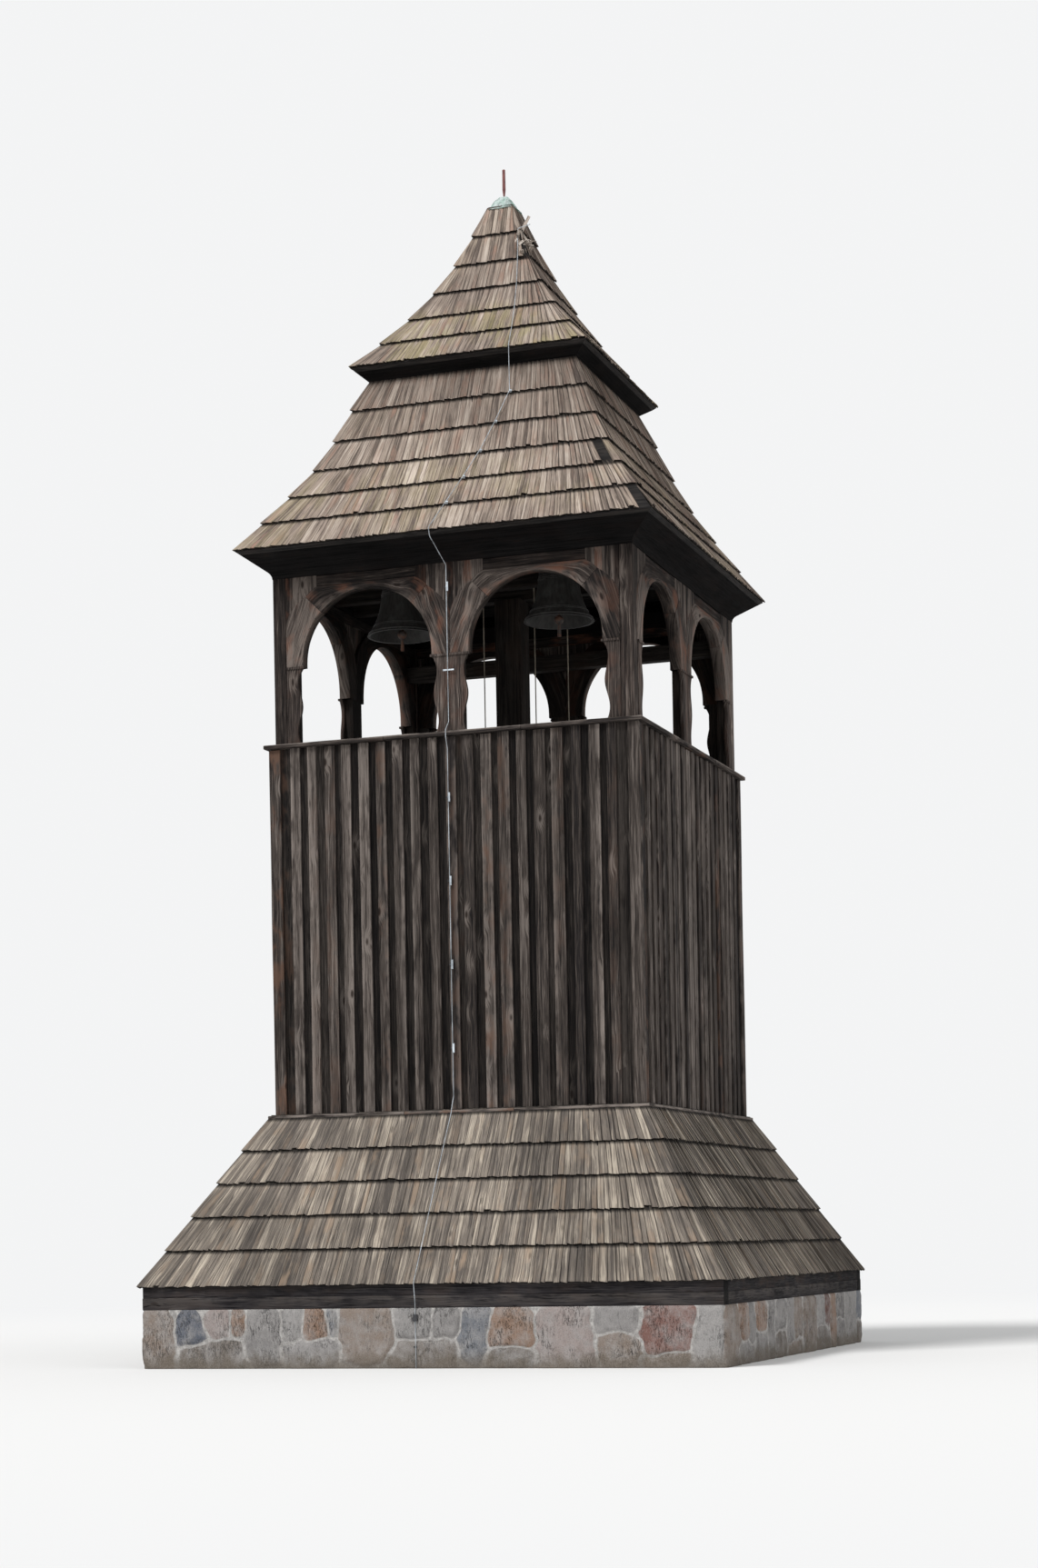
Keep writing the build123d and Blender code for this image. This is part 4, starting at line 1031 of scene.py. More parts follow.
def crumpled_cap(name, rng):
    """The sheet hood over the apex.

    Rings run from a lip turned down over the shingle heads to the crown. A point at angle a on a ring of
    half width h stands at h (cos a, sin a) / (|cos a|^5 + |sin a|^5)^(1/5), a square with soft corners,
    and dents, a sum of waves, push it in.
    """
    low, high = (np.array(corner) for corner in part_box("roof_cap"))
    foot, crown, rise = high[0], CAP_CROWN, high[2] - low[2]
    share = np.array([-0.24, -0.23, -0.02, 0.06, 0.2, 0.35, 0.5, 0.65, 0.8, 0.92, 0.985, 1.0])
    inside = foot + (crown - foot) * np.clip(share, 0, 1) ** 1.45
    half = np.where(share < 0, foot - 0.040 * (share + 0.02) / 0.22 * 1.05, inside)
    half[0] -= 0.006
    half[-1] -= 0.010
    ang = np.linspace(0, 2 * np.pi, 72, endpoint=False)
    square = (np.abs(np.cos(ang)) ** 5 + np.abs(np.sin(ang)) ** 5) ** -0.2
    gx, gz = np.meshgrid(ang, share, indexing="xy")
    dents = np.clip(ripple(rng, gx, gz * 2.0, 3.0) + 0.7 * ripple(rng, gx, gz * 2.0, 8.0), -0.2, 1.0)
    ends = np.clip(4 * (1 - share), 0, 1)[:, None]
    reach = half[:, None] * square - 0.016 * dents * ends
    points = np.zeros((1, len(share), len(ang), 3))
    points[0, ..., 0] = reach * np.cos(ang)
    points[0, ..., 1] = reach * np.sin(ang)
    points[0, ..., 2] = low[2] + share[:, None] * rise + 0.008 * ripple(rng, gx, gz, 3.0) * ends
    bundle = Bundle()
    lofted(bundle, points, rng)
    return build_mesh(name, bundle)


def wall_clips(s):
    """Clips on the walls: wall face, height, half width and half height of the strap."""
    upright, level = (0.013, 0.055), (0.070, 0.009)
    below_head, below_imposts = 0.300, 0.180
    shaft_low, shaft_high = SHAFT_Z
    count = int((shaft_high - shaft_low) / s.spacing)
    first = shaft_low + (shaft_high - shaft_low - (count - 1) * s.spacing) / 2
    clips = [(BELFRY_HALF, BELFRY_TOP - below_head, *upright)]
    clips += [(BELFRY_HALF, IMPOST_Z - below_imposts, *level)]
    return clips + [(SHAFT_HALF, first + i * s.spacing, *upright) for i in range(count)]


def conductor_clips(name, s, roofs):
    """Straps at the conductor's clips: on the walls a stem and a thin strap in front of the wire, and on
    the main roof a low strap under the wire at each course."""
    rng, bundle = seeded(name), Bundle()
    stand, stem, plate = s.standoff, 0.007, 0.0025
    near, far = s.wall_x + 0.004, s.wall_x + 0.012
    for face, z, wide, tall in wall_clips(s):
        straight_bars(bundle, [(near, 0.006 - face, z)], [(near, -face - stand - 0.009, z)], stem, stem, rng,
                      wobble=0.0, stations=2)
        y = -face - stand - stem
        straight_bars(bundle, [(far - wide, y, z)], [(far + wide, y, z)], plate, tall, rng, wobble=0.0,
                      stations=2)
    marks = main_marks(roofs)
    steps = len(marks) - 2
    for i in range(1, steps + 1):
        out = slope_of(marks[i], marks[i + 1])[1]
        x = s.upper_eave_x + (s.main_eave_x - s.upper_eave_x) * (steps - i) / steps
        low, high = marks[i] + out * (roofs.butt - 0.004), marks[i] + out * (roofs.butt + stand)
        start, end = (x - 0.004, -low[0], low[1]), (x + 0.012, -high[0], high[1])
        straight_bars(bundle, [start], [end], 0.016, 0.010, rng, wobble=0.0, stations=2)
    return build_mesh(name, bundle)


def loose_shingles(name, roofs, rng):
    """Split shingles that stand up from a broken place at the near hip of the upper roof: thin bars from
    the hip outwards, each with its own length, lean and swing."""
    marks = upper_marks(roofs)
    low, high = marks[-3], marks[-2]
    out = slope_of(low, high)[1]
    bundle = Bundle()
    count = 16
    t = rng.uniform(0.05, 0.95, count)
    hip = low[None, :] * (1 - t[:, None]) + high[None, :] * t[:, None] + out * (roofs.butt * 0.3)
    side = rng.random(count) < 0.6
    away = rng.uniform(0.01, 0.14, count)
    x = np.where(side, hip[:, 0] - away, hip[:, 0] - 0.004)
    y = np.where(side, -hip[:, 0] + 0.004, -hip[:, 0] + away)
    starts = np.stack([x, y, hip[:, 1]], 1)
    swings = ((0.35, 0.45), (-0.35, 0.45), (-0.25, 0.7))
    swing = np.stack([rng.normal(mean, spread, count) for mean, spread in swings], 1)
    swing /= np.linalg.norm(swing, axis=1)[:, None]
    ends = starts + swing * rng.uniform(0.09, 0.21, (count, 1))
    starts = starts - swing * 0.03
    spike = np.array([[high[0] - 0.01, -high[0] + 0.03, high[1] - 0.02]])
    starts = np.concatenate([starts, spike])
    ends = np.concatenate([ends, spike + [[0.13, -0.02, 0.20]]])
    up = np.array([0.45, -0.45, 0.77])
    straight_bars(bundle, starts, ends, 0.021, 0.0035, rng, wobble=0.002, stations=6, up=up,
                  tone=rng.uniform(0.7, 1.0, len(starts)))
    return build_mesh(name, bundle)


def put(tree, kind, values=None, **own):
    """A node of a kind with its own settings; values, numbers or links, go to sockets by name or place."""
    node = tree.nodes.new("ShaderNode" + kind)
    for key, value in own.items():
        setattr(node, key, value)
    for key, value in (values or {}).items():
        socket = node.inputs[key]
        if isinstance(value, bpy.types.NodeSocket):
            tree.links.new(value, socket)
        else:
            socket.default_value = value
    return node


def sums(tree, operation, a, b=0.0, clamp=False):
    """A Math node's output."""
    return put(tree, "Math", {0: a, 1: b}, operation=operation, use_clamp=clamp).outputs[0]


def times(tree, a, b, clamp=False):
    """Two values multiplied."""
    return sums(tree, "MULTIPLY", a, b, clamp)


def plus(tree, *values):
    """Several values added up."""
    total = values[0]
    for value in values[1:]:
        total = sums(tree, "ADD", total, value)
    return total


def less(tree, a, b):
    """One value taken from another."""
    return sums(tree, "SUBTRACT", a, b)


def grey_of(tree, value):
    """A value as an even grey, to darken a colour with."""
    return put(tree, "CombineColor", {0: value, 1: value, 2: value}).outputs[0]


def ramp(tree, value, low, high, to_low=0.0, to_high=1.0):
    """A value moved from one range to another with soft ends."""
    ranges = {"Value": value, "From Min": low, "From Max": high, "To Min": to_low, "To Max": to_high}
    return put(tree, "MapRange", ranges, interpolation_type="SMOOTHSTEP").outputs[0]


def choose(tree, factor, a, b):
    """One of two values, or a mix of them, by a factor."""
    return put(tree, "Mix", {0: factor, 2: a, 3: b}, data_type="FLOAT").outputs[0]


def tint(tree, factor, a, b, mode="MIX"):
    """Two colours mixed by a factor."""
    return put(tree, "Mix", {0: factor, 6: a, 7: b}, data_type="RGBA", blend_type=mode).outputs[2]


def speckle(tree, vector, scale, detail, rough=0.55, distortion=0.0):
    """A noise texture's value."""
    values = {"Vector": vector, "Scale": scale, "Detail": detail, "Roughness": rough,
              "Distortion": distortion}
    return put(tree, "TexNoise", values).outputs[0]


def stretched(tree, vector, x, y, z, shift=(0.0, 0.0, 0.0)):
    """A vector scaled on each axis and moved."""
    scaled = put(tree, "VectorMath", {0: vector, 1: (x, y, z)}, operation="MULTIPLY").outputs[0]
    return put(tree, "VectorMath", {0: scaled, 1: shift}, operation="ADD").outputs[0]


def new_group(name, inputs, outputs):
    """An empty node group with named sockets; returns the tree, its input links and its output node."""
    tree = bpy.data.node_groups.new(name, "ShaderNodeTree")
    for label, kind, default in inputs:
        socket = tree.interface.new_socket(label, in_out="INPUT", socket_type="NodeSocket" + kind)
        if default is not None:
            socket.default_value = default
    for label, kind in outputs:
        tree.interface.new_socket(label, in_out="OUTPUT", socket_type="NodeSocket" + kind)
    return tree, tree.nodes.new("NodeGroupInput").outputs, tree.nodes.new("NodeGroupOutput").inputs


def finish_group(name, inputs):
    """An empty node group that puts out a finish's colour, roughness and height."""
    return new_group(name, inputs, [("Color", "Color"), ("Roughness", "Float"), ("Height", "Float")])


def timber_group():
    """Weathered timber.

    Streaks and fibres are noise stretched along the grain and bent by slower noise. Added to the board's
    own tone they lead from the dark colour through the middle one to the pale one. Rubbed edges turn
    pale, worn spots reddish and damp places olive, slow noise over the whole tower lightens and darkens
    everything, and knots and drying cracks stay dark. Sawn and split ends are darkened as end grain and
    as painted shadow under the shingle butts, and the Shade mark darkens the colour as painted shade.
    """
    name = "weathered timber"
    if name in bpy.data.node_groups:
        return bpy.data.node_groups[name]
    vectors = [("Grain", "Vector", None), ("Place", "Vector", None)]
    marks = [("Tone", "Float", 0.5), ("Warm", "Float", 0.3), ("Shade", "Float", 0.0), ("End", "Float", 0.0)]
    marks += [("Damp", "Float", 0.0), ("Wear", "Float", 0.0)]
    colours = [("Dark", "Color", (0.02, 0.02, 0.02, 1)), ("Middle", "Color", (0.1, 0.1, 0.1, 1))]
    colours += [("Pale", "Color", (0.3, 0.3, 0.3, 1)), ("Worn", "Color", (0.2, 0.08, 0.05, 1))]
    amounts = [("Contrast", "Float", 0.6), ("Pale share", "Float", 0.5), ("Knots", "Float", 0.5)]
    amounts += [("Cracks", "Float", 0.6)]
    tree, get, out = finish_group(name, vectors + marks + colours + amounts)

    shift = put(tree, "CombineXYZ", {"Z": times(tree, get["Tone"], 7.0)}).outputs[0]
    grain = put(tree, "VectorMath", {0: get["Grain"], 1: shift}, operation="ADD").outputs[0]
    cells = put(tree, "TexVoronoi", {"Vector": stretched(tree, grain, 5.2, 2.1, 1.0), "Scale": 1.0})
    lucky = ramp(tree, put(tree, "SeparateColor", {0: cells.outputs["Color"]}).outputs[0], 0.48, 0.52)
    knotty = times(tree, lucky, get["Knots"])
    from_knot = cells.outputs["Distance"]
    knot = times(tree, ramp(tree, from_knot, 0.15, 0.06), knotty)
    halo = times(tree, ramp(tree, from_knot, 0.44, 0.12), knotty)
    bend = speckle(tree, stretched(tree, grain, 3.0, 1.4, 1.0), 1.0, 2.0)
    sway = plus(tree, times(tree, bend, 0.05), times(tree, halo, 0.035))
    bent = put(tree, "VectorMath", {0: grain, 1: put(tree, "CombineXYZ", {"X": sway}).outputs[0]},
               operation="ADD")
    bent = bent.outputs[0]
    fibre = speckle(tree, stretched(tree, bent, 150.0, 4.2, 1.0), 1.0, 5.0, 0.65)
    streak = speckle(tree, stretched(tree, bent, 46.0, 1.1, 1.0, (3.1, 7.7, 0.0)), 1.0, 3.0, 0.6)
    patch = speckle(tree, stretched(tree, grain, 8.0, 1.7, 1.0, (11.0, 2.0, 0.0)), 1.0, 3.0, 0.6)
    rub = speckle(tree, stretched(tree, grain, 5.0, 2.2, 1.0, (31.0, 5.0, 0.0)), 1.0, 3.0, 0.6)
    split = speckle(tree, stretched(tree, bent, 34.0, 0.8, 1.0, (5.0, 17.0, 0.0)), 1.0, 2.0, 0.5)
    region = speckle(tree, stretched(tree, get["Place"], 0.8, 0.8, 0.55), 1.0, 3.0, 0.55)
    stain = speckle(tree, stretched(tree, get["Place"], 2.2, 2.2, 0.7, (4.0, 9.0, 2.0)), 1.0, 4.0, 0.6)

    tone = times(tree, less(tree, get["Tone"], 0.5), get["Contrast"])
    thread = less(tree, fibre, 0.5)
    band = less(tree, streak, 0.5)
    level = plus(tree, 0.5, tone, times(tree, band, 1.10), times(tree, thread, 0.95))
    level = plus(tree, level, times(tree, less(tree, stain, 0.5), 0.35), times(tree, halo, 0.26))
    base = tint(tree, ramp(tree, level, 0.24, 0.56), get["Dark"], get["Middle"])
    pale = times(tree, ramp(tree, level, 0.50, 0.86), get["Pale share"], clamp=True)
    base = tint(tree, pale, base, get["Pale"])
    rubbed = times(tree, get["Wear"], ramp(tree, plus(tree, rub, times(tree, fibre, 0.4)), 0.56, 0.80))
    base = tint(tree, times(tree, rubbed, 0.85), base, get["Pale"])
    worn = times(tree, get["Warm"], ramp(tree, rub, 0.46, 0.66))
    base = tint(tree, times(tree, worn, 0.85, clamp=True), base, get["Worn"])
    damp = times(tree, get["Damp"], ramp(tree, region, 0.44, 0.58))
    damp = times(tree, damp, ramp(tree, plus(tree, patch, times(tree, band, 0.6)), 0.36, 0.60))
    base = tint(tree, times(tree, damp, 0.75, clamp=True), base, (0.26, 0.225, 0.105, 1))
    base = tint(tree, times(tree, knot, 0.88), base, (0.014, 0.009, 0.007, 1))

    line = ramp(tree, sums(tree, "ABSOLUTE", less(tree, split, 0.5)), 0.002, 0.016)
    where = times(tree, get["Cracks"], ramp(tree, patch, 0.42, 0.60))
    crack = less(tree, 1.0, times(tree, less(tree, 1.0, line), where))
    light = times(tree, ramp(tree, crack, 0.0, 1.0, 0.22, 1.0), ramp(tree, region, 0.34, 0.66, 0.80, 1.12))
    # Painted shade: the Shade mark darkens the colour.
    light = times(tree, light, less(tree, 1.0, times(tree, get["Shade"], 0.85)))
    # Sawn and split ends darkened: partly end grain, partly painted shadow under the shingle butts.
    light = times(tree, light, less(tree, 1.0, times(tree, get["End"], 0.85)))
    tree.links.new(tint(tree, 1.0, base, grey_of(tree, light), "MULTIPLY"), out["Color"])
    tree.links.new(ramp(tree, fibre, 0.2, 0.8, 0.95, 0.78), out["Roughness"])
    rise = plus(tree, times(tree, fibre, 0.55), times(tree, streak, 0.5), times(tree, crack, 0.7))
    tree.links.new(plus(tree, rise, times(tree, knot, -0.3)), out["Height"])
    return tree


def grain_group():
    """Grain directions for timbers that have no grain map, from object coordinates: upright for posts,
    round the tower for boards mitred at the hips, and along X for beams across the tower, apart from the
    upright middle post. Inner is one inside the belfry's outer face."""
    name = "timber direction"
    if name in bpy.data.node_groups:
        return bpy.data.node_groups[name]
    directions = [("Upright", "Vector"), ("Round", "Vector"), ("Across", "Vector"), ("Inner", "Float")]
    tree, get, out = new_group(name, [("Place", "Vector", None)], directions)
    x, y, z = put(tree, "SeparateXYZ", {0: get["Place"]}).outputs
    ax, ay = sums(tree, "ABSOLUTE", x), sums(tree, "ABSOLUTE", y)
    outermost = sums(tree, "MAXIMUM", ax, ay)
    # Inner is one inside the belfry, where CAD timbers get painted shade.
    tree.links.new(ramp(tree, outermost, BELFRY_HALF - 0.01, BELFRY_HALF - 0.05), out["Inner"])
    flat = plus(tree, x, times(tree, y, 1.07))
    tree.links.new(put(tree, "CombineXYZ", {0: flat, 1: z}).outputs[0], out["Upright"])
    on_front = sums(tree, "GREATER_THAN", ay, ax)
    level = plus(tree, choose(tree, on_front, ax, ay), times(tree, z, GRAIN_SLANT))
    along = choose(tree, on_front, y, x)
    mitred = put(tree, "CombineXYZ", {0: level, 1: along, 2: times(tree, on_front, 3.0)})
    tree.links.new(mitred.outputs[0], out["Round"])
    deep = plus(tree, y, times(tree, z, GRAIN_SLANT))
    in_post = sums(tree, "LESS_THAN", outermost, MIDDLE_POST_HALF)
    post = times(tree, in_post, sums(tree, "LESS_THAN", z, MIDDLE_POST_TOP))
    across = put(tree, "CombineXYZ", {0: choose(tree, post, deep, flat), 1: choose(tree, post, x, z)})
    tree.links.new(across.outputs[0], out["Across"])
    return tree


def start_material(name, specular, metallic=0.0):
    """A new material with its tree and its principled shader."""
    material = bpy.data.materials.new(name)
    material.use_nodes = True
    tree = material.node_tree
    tree.nodes.clear()
    shader = tree.nodes.new("ShaderNodeBsdfPrincipled")
    shader.inputs["Metallic"].default_value = metallic
    shader.inputs["Specular IOR Level"].default_value = specular
    output = tree.nodes.new("ShaderNodeOutputMaterial")
    tree.links.new(shader.outputs[0], output.inputs[0])
    return material, tree, shader


def own_place(tree):
    """Object coordinates, which are the tower's own."""
    return tree.nodes.new("ShaderNodeTexCoord").outputs["Object"]


def finish_with(tree, shader, group, distance, strength=0.6):
    """Lead a group's colour, roughness and height to the shader."""
    tree.links.new(group.outputs["Color"], shader.inputs["Base Color"])
    tree.links.new(group.outputs["Roughness"], shader.inputs["Roughness"])
    bump = put(tree, "Bump", {"Strength": strength, "Distance": distance, "Height": group.outputs["Height"]})
    tree.links.new(bump.outputs[0], shader.inputs["Normal"])


def timber(name, dark, middle, pale, worn, source="map", contrast=0.5, pale_share=0.6, knots=0.5, cracks=0.6,
           tone=0.5, warm=0.3, distance=0.004, specular=0.16, inner=0.0):
    """A timber material; source is map for pieces with a grain map, or a direction for CAD nodes."""
    if name in bpy.data.materials:
        return bpy.data.materials[name]
    material, tree, shader = start_material(name, specular=specular)
    group = put(tree, "Group", {}, node_tree=timber_group())
    tree.links.new(own_place(tree), group.inputs["Place"])
    if source == "map":
        tree.links.new(put(tree, "UVMap", uv_map="grain").outputs[0], group.inputs["Grain"])
        pairs = {"tone": "Tone", "warm": "Warm", "shade": "Shade", "end": "End", "age": "Damp",
                 "wear": "Wear"}
        for key, socket in pairs.items():
            mark = put(tree, "Attribute", attribute_name=key)
            tree.links.new(mark.outputs["Fac"], group.inputs[socket])
    else:
        way = put(tree, "Group", {"Place": own_place(tree)}, node_tree=grain_group())
        tree.links.new(way.outputs[source], group.inputs["Grain"])
        # Painted shade on CAD timbers inside the belfry, by the inner amount.
        tree.links.new(times(tree, way.outputs["Inner"], inner), group.inputs["Shade"])
        group.inputs["Tone"].default_value = tone
        group.inputs["Warm"].default_value = warm
    for socket, value in (("Dark", dark), ("Middle", middle), ("Pale", pale), ("Worn", worn)):
        group.inputs[socket].default_value = (*value, 1.0)
    amounts = {"Contrast": contrast, "Pale share": pale_share, "Knots": knots, "Cracks": cracks}
    for socket, value in amounts.items():
        group.inputs[socket].default_value = value
    finish_with(tree, shader, group, distance)
    return material


def patina_group():
    """Old metal: a base colour, a second colour in soft patches, dark run marks and fine pitting."""
    name = "patina"
    if name in bpy.data.node_groups:
        return bpy.data.node_groups[name]
    colours = [("Base", "Color", (0.2, 0.2, 0.2, 1)), ("Patch", "Color", (0.3, 0.4, 0.3, 1))]
    amounts = [("Amount", "Float", 0.5), ("Grit", "Float", 60.0), ("Smooth", "Float", 0.5),
               ("Rough", "Float", 0.8)]
    tree, get, out = finish_group(name, [("Place", "Vector", None)] + colours + amounts)
    soft = speckle(tree, get["Place"], 9.0, 5.0, 0.6)
    grit = speckle(tree, get["Place"], get["Grit"], 4.0, 0.6)
    runs = speckle(tree, stretched(tree, get["Place"], 30.0, 30.0, 2.5), 1.0, 3.0)
    level = plus(tree, times(tree, soft, 0.7), times(tree, grit, 0.35))
    level = plus(tree, level, times(tree, less(tree, get["Amount"], 0.5), 0.6))
    mask = ramp(tree, level, 0.42, 0.64)
    base = tint(tree, mask, get["Base"], get["Patch"])
    dark = ramp(tree, runs, 0.35, 0.6, 0.62, 1.08)
    tree.links.new(tint(tree, 1.0, base, grey_of(tree, dark), "MULTIPLY"), out["Color"])
    tree.links.new(choose(tree, mask, get["Smooth"], get["Rough"]), out["Roughness"])
    tree.links.new(plus(tree, grit, times(tree, mask, 0.4)), out["Height"])
    return tree


def old_metal(name, base, patch, amount, grit, smooth, rough, metallic=0.0):
    """A metal material with a patina."""
    if name in bpy.data.materials:
        return bpy.data.materials[name]
    material, tree, shader = start_material(name, metallic=metallic, specular=0.5)
    values = {"Place": own_place(tree), "Base": (*base, 1), "Patch": (*patch, 1), "Amount": amount}
    values.update({"Grit": grit, "Smooth": smooth, "Rough": rough})
    group = put(tree, "Group", values, node_tree=patina_group())
    finish_with(tree, shader, group, distance=0.002, strength=0.5)
    return material


def fieldstone(colours):
    """Boulders in lime: each stone's tint is mottled, pitted and marked by short dark upright cracks, the
    pointing is pale and smeared, and earth is splashed over the foot."""
    name = "laid fieldstone"
    if name in bpy.data.materials:
        return bpy.data.materials[name]
    material, tree, shader = start_material(name, specular=0.2)
    where = own_place(tree)
    stone = put(tree, "Attribute", attribute_name="stone").outputs["Color"]
    joint = put(tree, "Attribute", attribute_name="joint").outputs["Fac"]
    cloud = speckle(tree, where, 5.0, 5.0, 0.62)
    grit = speckle(tree, where, 75.0, 4.0, 0.7)
    vein = speckle(tree, stretched(tree, where, 30.0, 30.0, 6.5), 1.0, 4.0, 0.7, 0.5)
    streaks = speckle(tree, where, 3.2, 3.0, 0.6)
    chalk = speckle(tree, where, 26.0, 5.0, 0.7)
    body = tint(tree, ramp(tree, cloud, 0.34, 0.68, 0.0, 0.62), stone, (0.31, 0.295, 0.285, 1))
    body = tint(tree, ramp(tree, grit, 0.52, 0.75, 0.0, 0.45), body, (0.42, 0.40, 0.38, 1))
    pit = ramp(tree, grit, 0.30, 0.46, 0.50, 1.0)
    mark = ramp(tree, sums(tree, "ABSOLUTE", less(tree, vein, 0.5)), 0.004, 0.030)
    crack = less(tree, 1.0, times(tree, less(tree, 1.0, mark), ramp(tree, streaks, 0.44, 0.60, 0.15, 0.82)))
    body = tint(tree, 1.0, body, grey_of(tree, times(tree, pit, crack)), "MULTIPLY")
    ragged = plus(tree, joint, times(tree, less(tree, chalk, 0.5), 0.030))
    lime = ramp(tree, ragged, 0.007, -0.004)
    smear = times(tree, ramp(tree, ragged, 0.05, 0.0), ramp(tree, cloud, 0.48, 0.66, 0.0, 0.50))
    old_lime = tuple(0.55 * channel for channel in colours.lime)
    pointing = tint(tree, ramp(tree, chalk, 0.35, 0.7), (*old_lime, 1.0), (*colours.lime, 1.0))
    base = tint(tree, sums(tree, "MAXIMUM", lime, smear), body, pointing)
    height = put(tree, "SeparateXYZ", {0: where}).outputs[2]
    splash = plus(tree, height, times(tree, less(tree, cloud, 0.5), 0.42),
                  times(tree, less(tree, grit, 0.5), 0.10))
    soil = ramp(tree, splash, 0.24, 0.02, 0.0, 0.85)
    earth = tint(tree, ramp(tree, grit, 0.35, 0.7), (*colours.soil, 1.0), (0.18, 0.155, 0.13, 1.0))
    tree.links.new(tint(tree, soil, base, earth), shader.inputs["Base Color"])
    shader.inputs["Roughness"].default_value = 0.93
    rise = plus(tree, times(tree, grit, 0.5), times(tree, cloud, 0.8), times(tree, crack, 0.6))
    bump = put(tree, "Bump", {"Strength": 0.7, "Distance": 0.008, "Height": rise})
    tree.links.new(bump.outputs[0], shader.inputs["Normal"])
    return material


# Pieces.


def seeded(name):
    """Random numbers that are the same on each run; the seed comes from the piece's name."""
    return np.random.default_rng(sum(ord(c) * (i + 7) for i, c in enumerate(name)))


def roof_wood(colours):
    """Grey-brown shingles of the two roofs."""
    return timber("shingle wood", colours.roof_dark, colours.roof_mid, colours.roof_pale,
                  (0.33, 0.205, 0.155), contrast=0.36, pale_share=0.80, knots=0.3, cracks=0.55)


def skirt_wood(colours):
    """Strongly mixed shakes of the skirt."""
    return timber("skirt wood", colours.skirt_dark, colours.skirt_mid, colours.skirt_pale,
                  (0.27, 0.20, 0.145), contrast=0.42, pale_share=0.85, knots=0.5, cracks=0.6)


def wall_wood(colours):
    """Dark boards of the shaft and its ledges."""
    return timber("wall boards", colours.wall_dark, colours.wall_mid, colours.wall_pale,
                  (0.115, 0.066, 0.046), contrast=0.45, pale_share=0.60, knots=1.0, cracks=0.9, specular=0.08)


def arch_wood(colours):
    """Worn timbers of the arches."""
    return timber("arch timbers", colours.arch_dark, colours.arch_mid, colours.arch_pale, colours.red,
                  contrast=0.55, pale_share=0.70, knots=1.0, cracks=0.9, specular=0.08)


def deck_wood():
    """Dark boarding under the shingles."""
    return timber("roof boarding", (0.012, 0.011, 0.011), (0.035, 0.031, 0.029), (0.08, 0.07, 0.062),
                  (0.05, 0.035, 0.028), pale_share=0.3)


def sill_wood():
    """Nearly black wood of the sill beams."""
    return timber("sill beams", (0.009, 0.008, 0.009), (0.027, 0.0245, 0.026), (0.10, 0.088, 0.080),
                  (0.055, 0.036, 0.028), pale_share=0.40, specular=0.08, knots=0.6, cracks=1.0,
                  distance=0.006)


# Dark, middle, pale and worn tints of the old timbers inside the belfry, kept very dark as painted shade.
SHADED_FRAME_TINTS = ((0.006, 0.0055, 0.0055), (0.020, 0.017, 0.015), (0.060, 0.051, 0.045), (0.035, 0.020, 0.014))


def frame_wood():
    """Old frame timber with a grain map, darkened as painted shade inside the belfry."""
    return timber("frame timber", *SHADED_FRAME_TINTS, pale_share=0.3, knots=0.6, cracks=0.9)


def shingle_roof(roof, node, marks, width, wood, s, damage=None, **ways):
    """Shingle the four sides of a roof and lay the boards under them; damage maps a side to its own."""
    for quarter, side in enumerate(SIDES):
        name = roof + "_shingles_" + side
        own = (damage or {}).get(side)
        piece = roof_side(name, marks, width, s, seeded(name), quarter, damage=own, **ways)
        place(piece, TOWER, wood, [node + "_" + side])
    deck = roof_deck(roof + "_deck", deck_outline(marks, s.deck), seeded(roof + "_deck"))
    place(deck, TOWER, deck_wood())


class TOWER_OT_plinth(bpy.types.Operator):
    """Lay the fieldstone plinth"""

    bl_idname = "tower.plinth"
    bl_label = "Fieldstone plinth"

    def execute(self, context):
        scene = context.scene
        piece = plinth_wall("plinth_stones", scene.tower_stones, seeded("plinth"))
        place(piece, TOWER, fieldstone(scene.tower_colours), ["plinth"])
        return {"FINISHED"}


class TOWER_OT_sills(bpy.types.Operator):
    """Lay the two rings of sill beams"""

    bl_idname = "tower.sills"
    bl_label = "Sill beams"

    def execute(self, context):
        s, beam_half = context.scene.tower_boards, 0.0965
        for i, name in enumerate(("sill_lower", "sill_upper")):
            rng, bundle, shy = seeded(name), Bundle(), 0.004 * i
            mid, half_height = s.sill_low + i * s.sill_beam + s.sill_beam / 2, s.sill_beam / 2 + 0.002
            edge, long_end, short_end = s.sill_half - 0.1 - shy, s.sill_half - shy, s.sill_half - 0.19
            starts = [(-long_end, -edge, mid), (-long_end, edge, mid), (edge, -short_end, mid),
                      (-edge, -short_end, mid)]
            ends = [(long_end, -edge, mid), (long_end, edge, mid), (edge, short_end, mid),
                    (-edge, short_end, mid)]
            straight_bars(bundle, starts, ends, beam_half, half_height, rng, wobble=0.0016, stations=40,
                          worn=0.6 - 0.4 * i)
            place(build_mesh(name + "_beams", bundle), TOWER, sill_wood(), [name])
        return {"FINISHED"}


class TOWER_OT_skirt_roof(bpy.types.Operator):
    """Shingle the skirt round the foot of the shaft"""

    bl_idname = "tower.skirt_roof"
    bl_label = "Skirt roof"

    def execute(self, context):
        s, wood = context.scene.tower_roofs, skirt_wood(context.scene.tower_colours)
        marks = straight_marks(s.skirt_eave, s.skirt_eave_z, s.skirt_top, s.skirt_top_z, s.skirt_courses)
        shingle_roof("skirt", "skirt_roof", marks, s.shake_width, wood, s, drop=s.skirt_drop)
        return {"FINISHED"}


class TOWER_OT_shaft(bpy.types.Operator):
    """Board the four walls of the shaft"""

    bl_idname = "tower.shaft"
    bl_label = "Boarded shaft"

    def execute(self, context):
        s, wood = context.scene.tower_boards, wall_wood(context.scene.tower_colours)
        for quarter, side in enumerate(SIDES):
            name = "shaft_boards_" + side
            place(shaft_side(name, s, seeded(name), quarter), TOWER, wood,
                  ["shaft_wall_" + side])
        return {"FINISHED"}


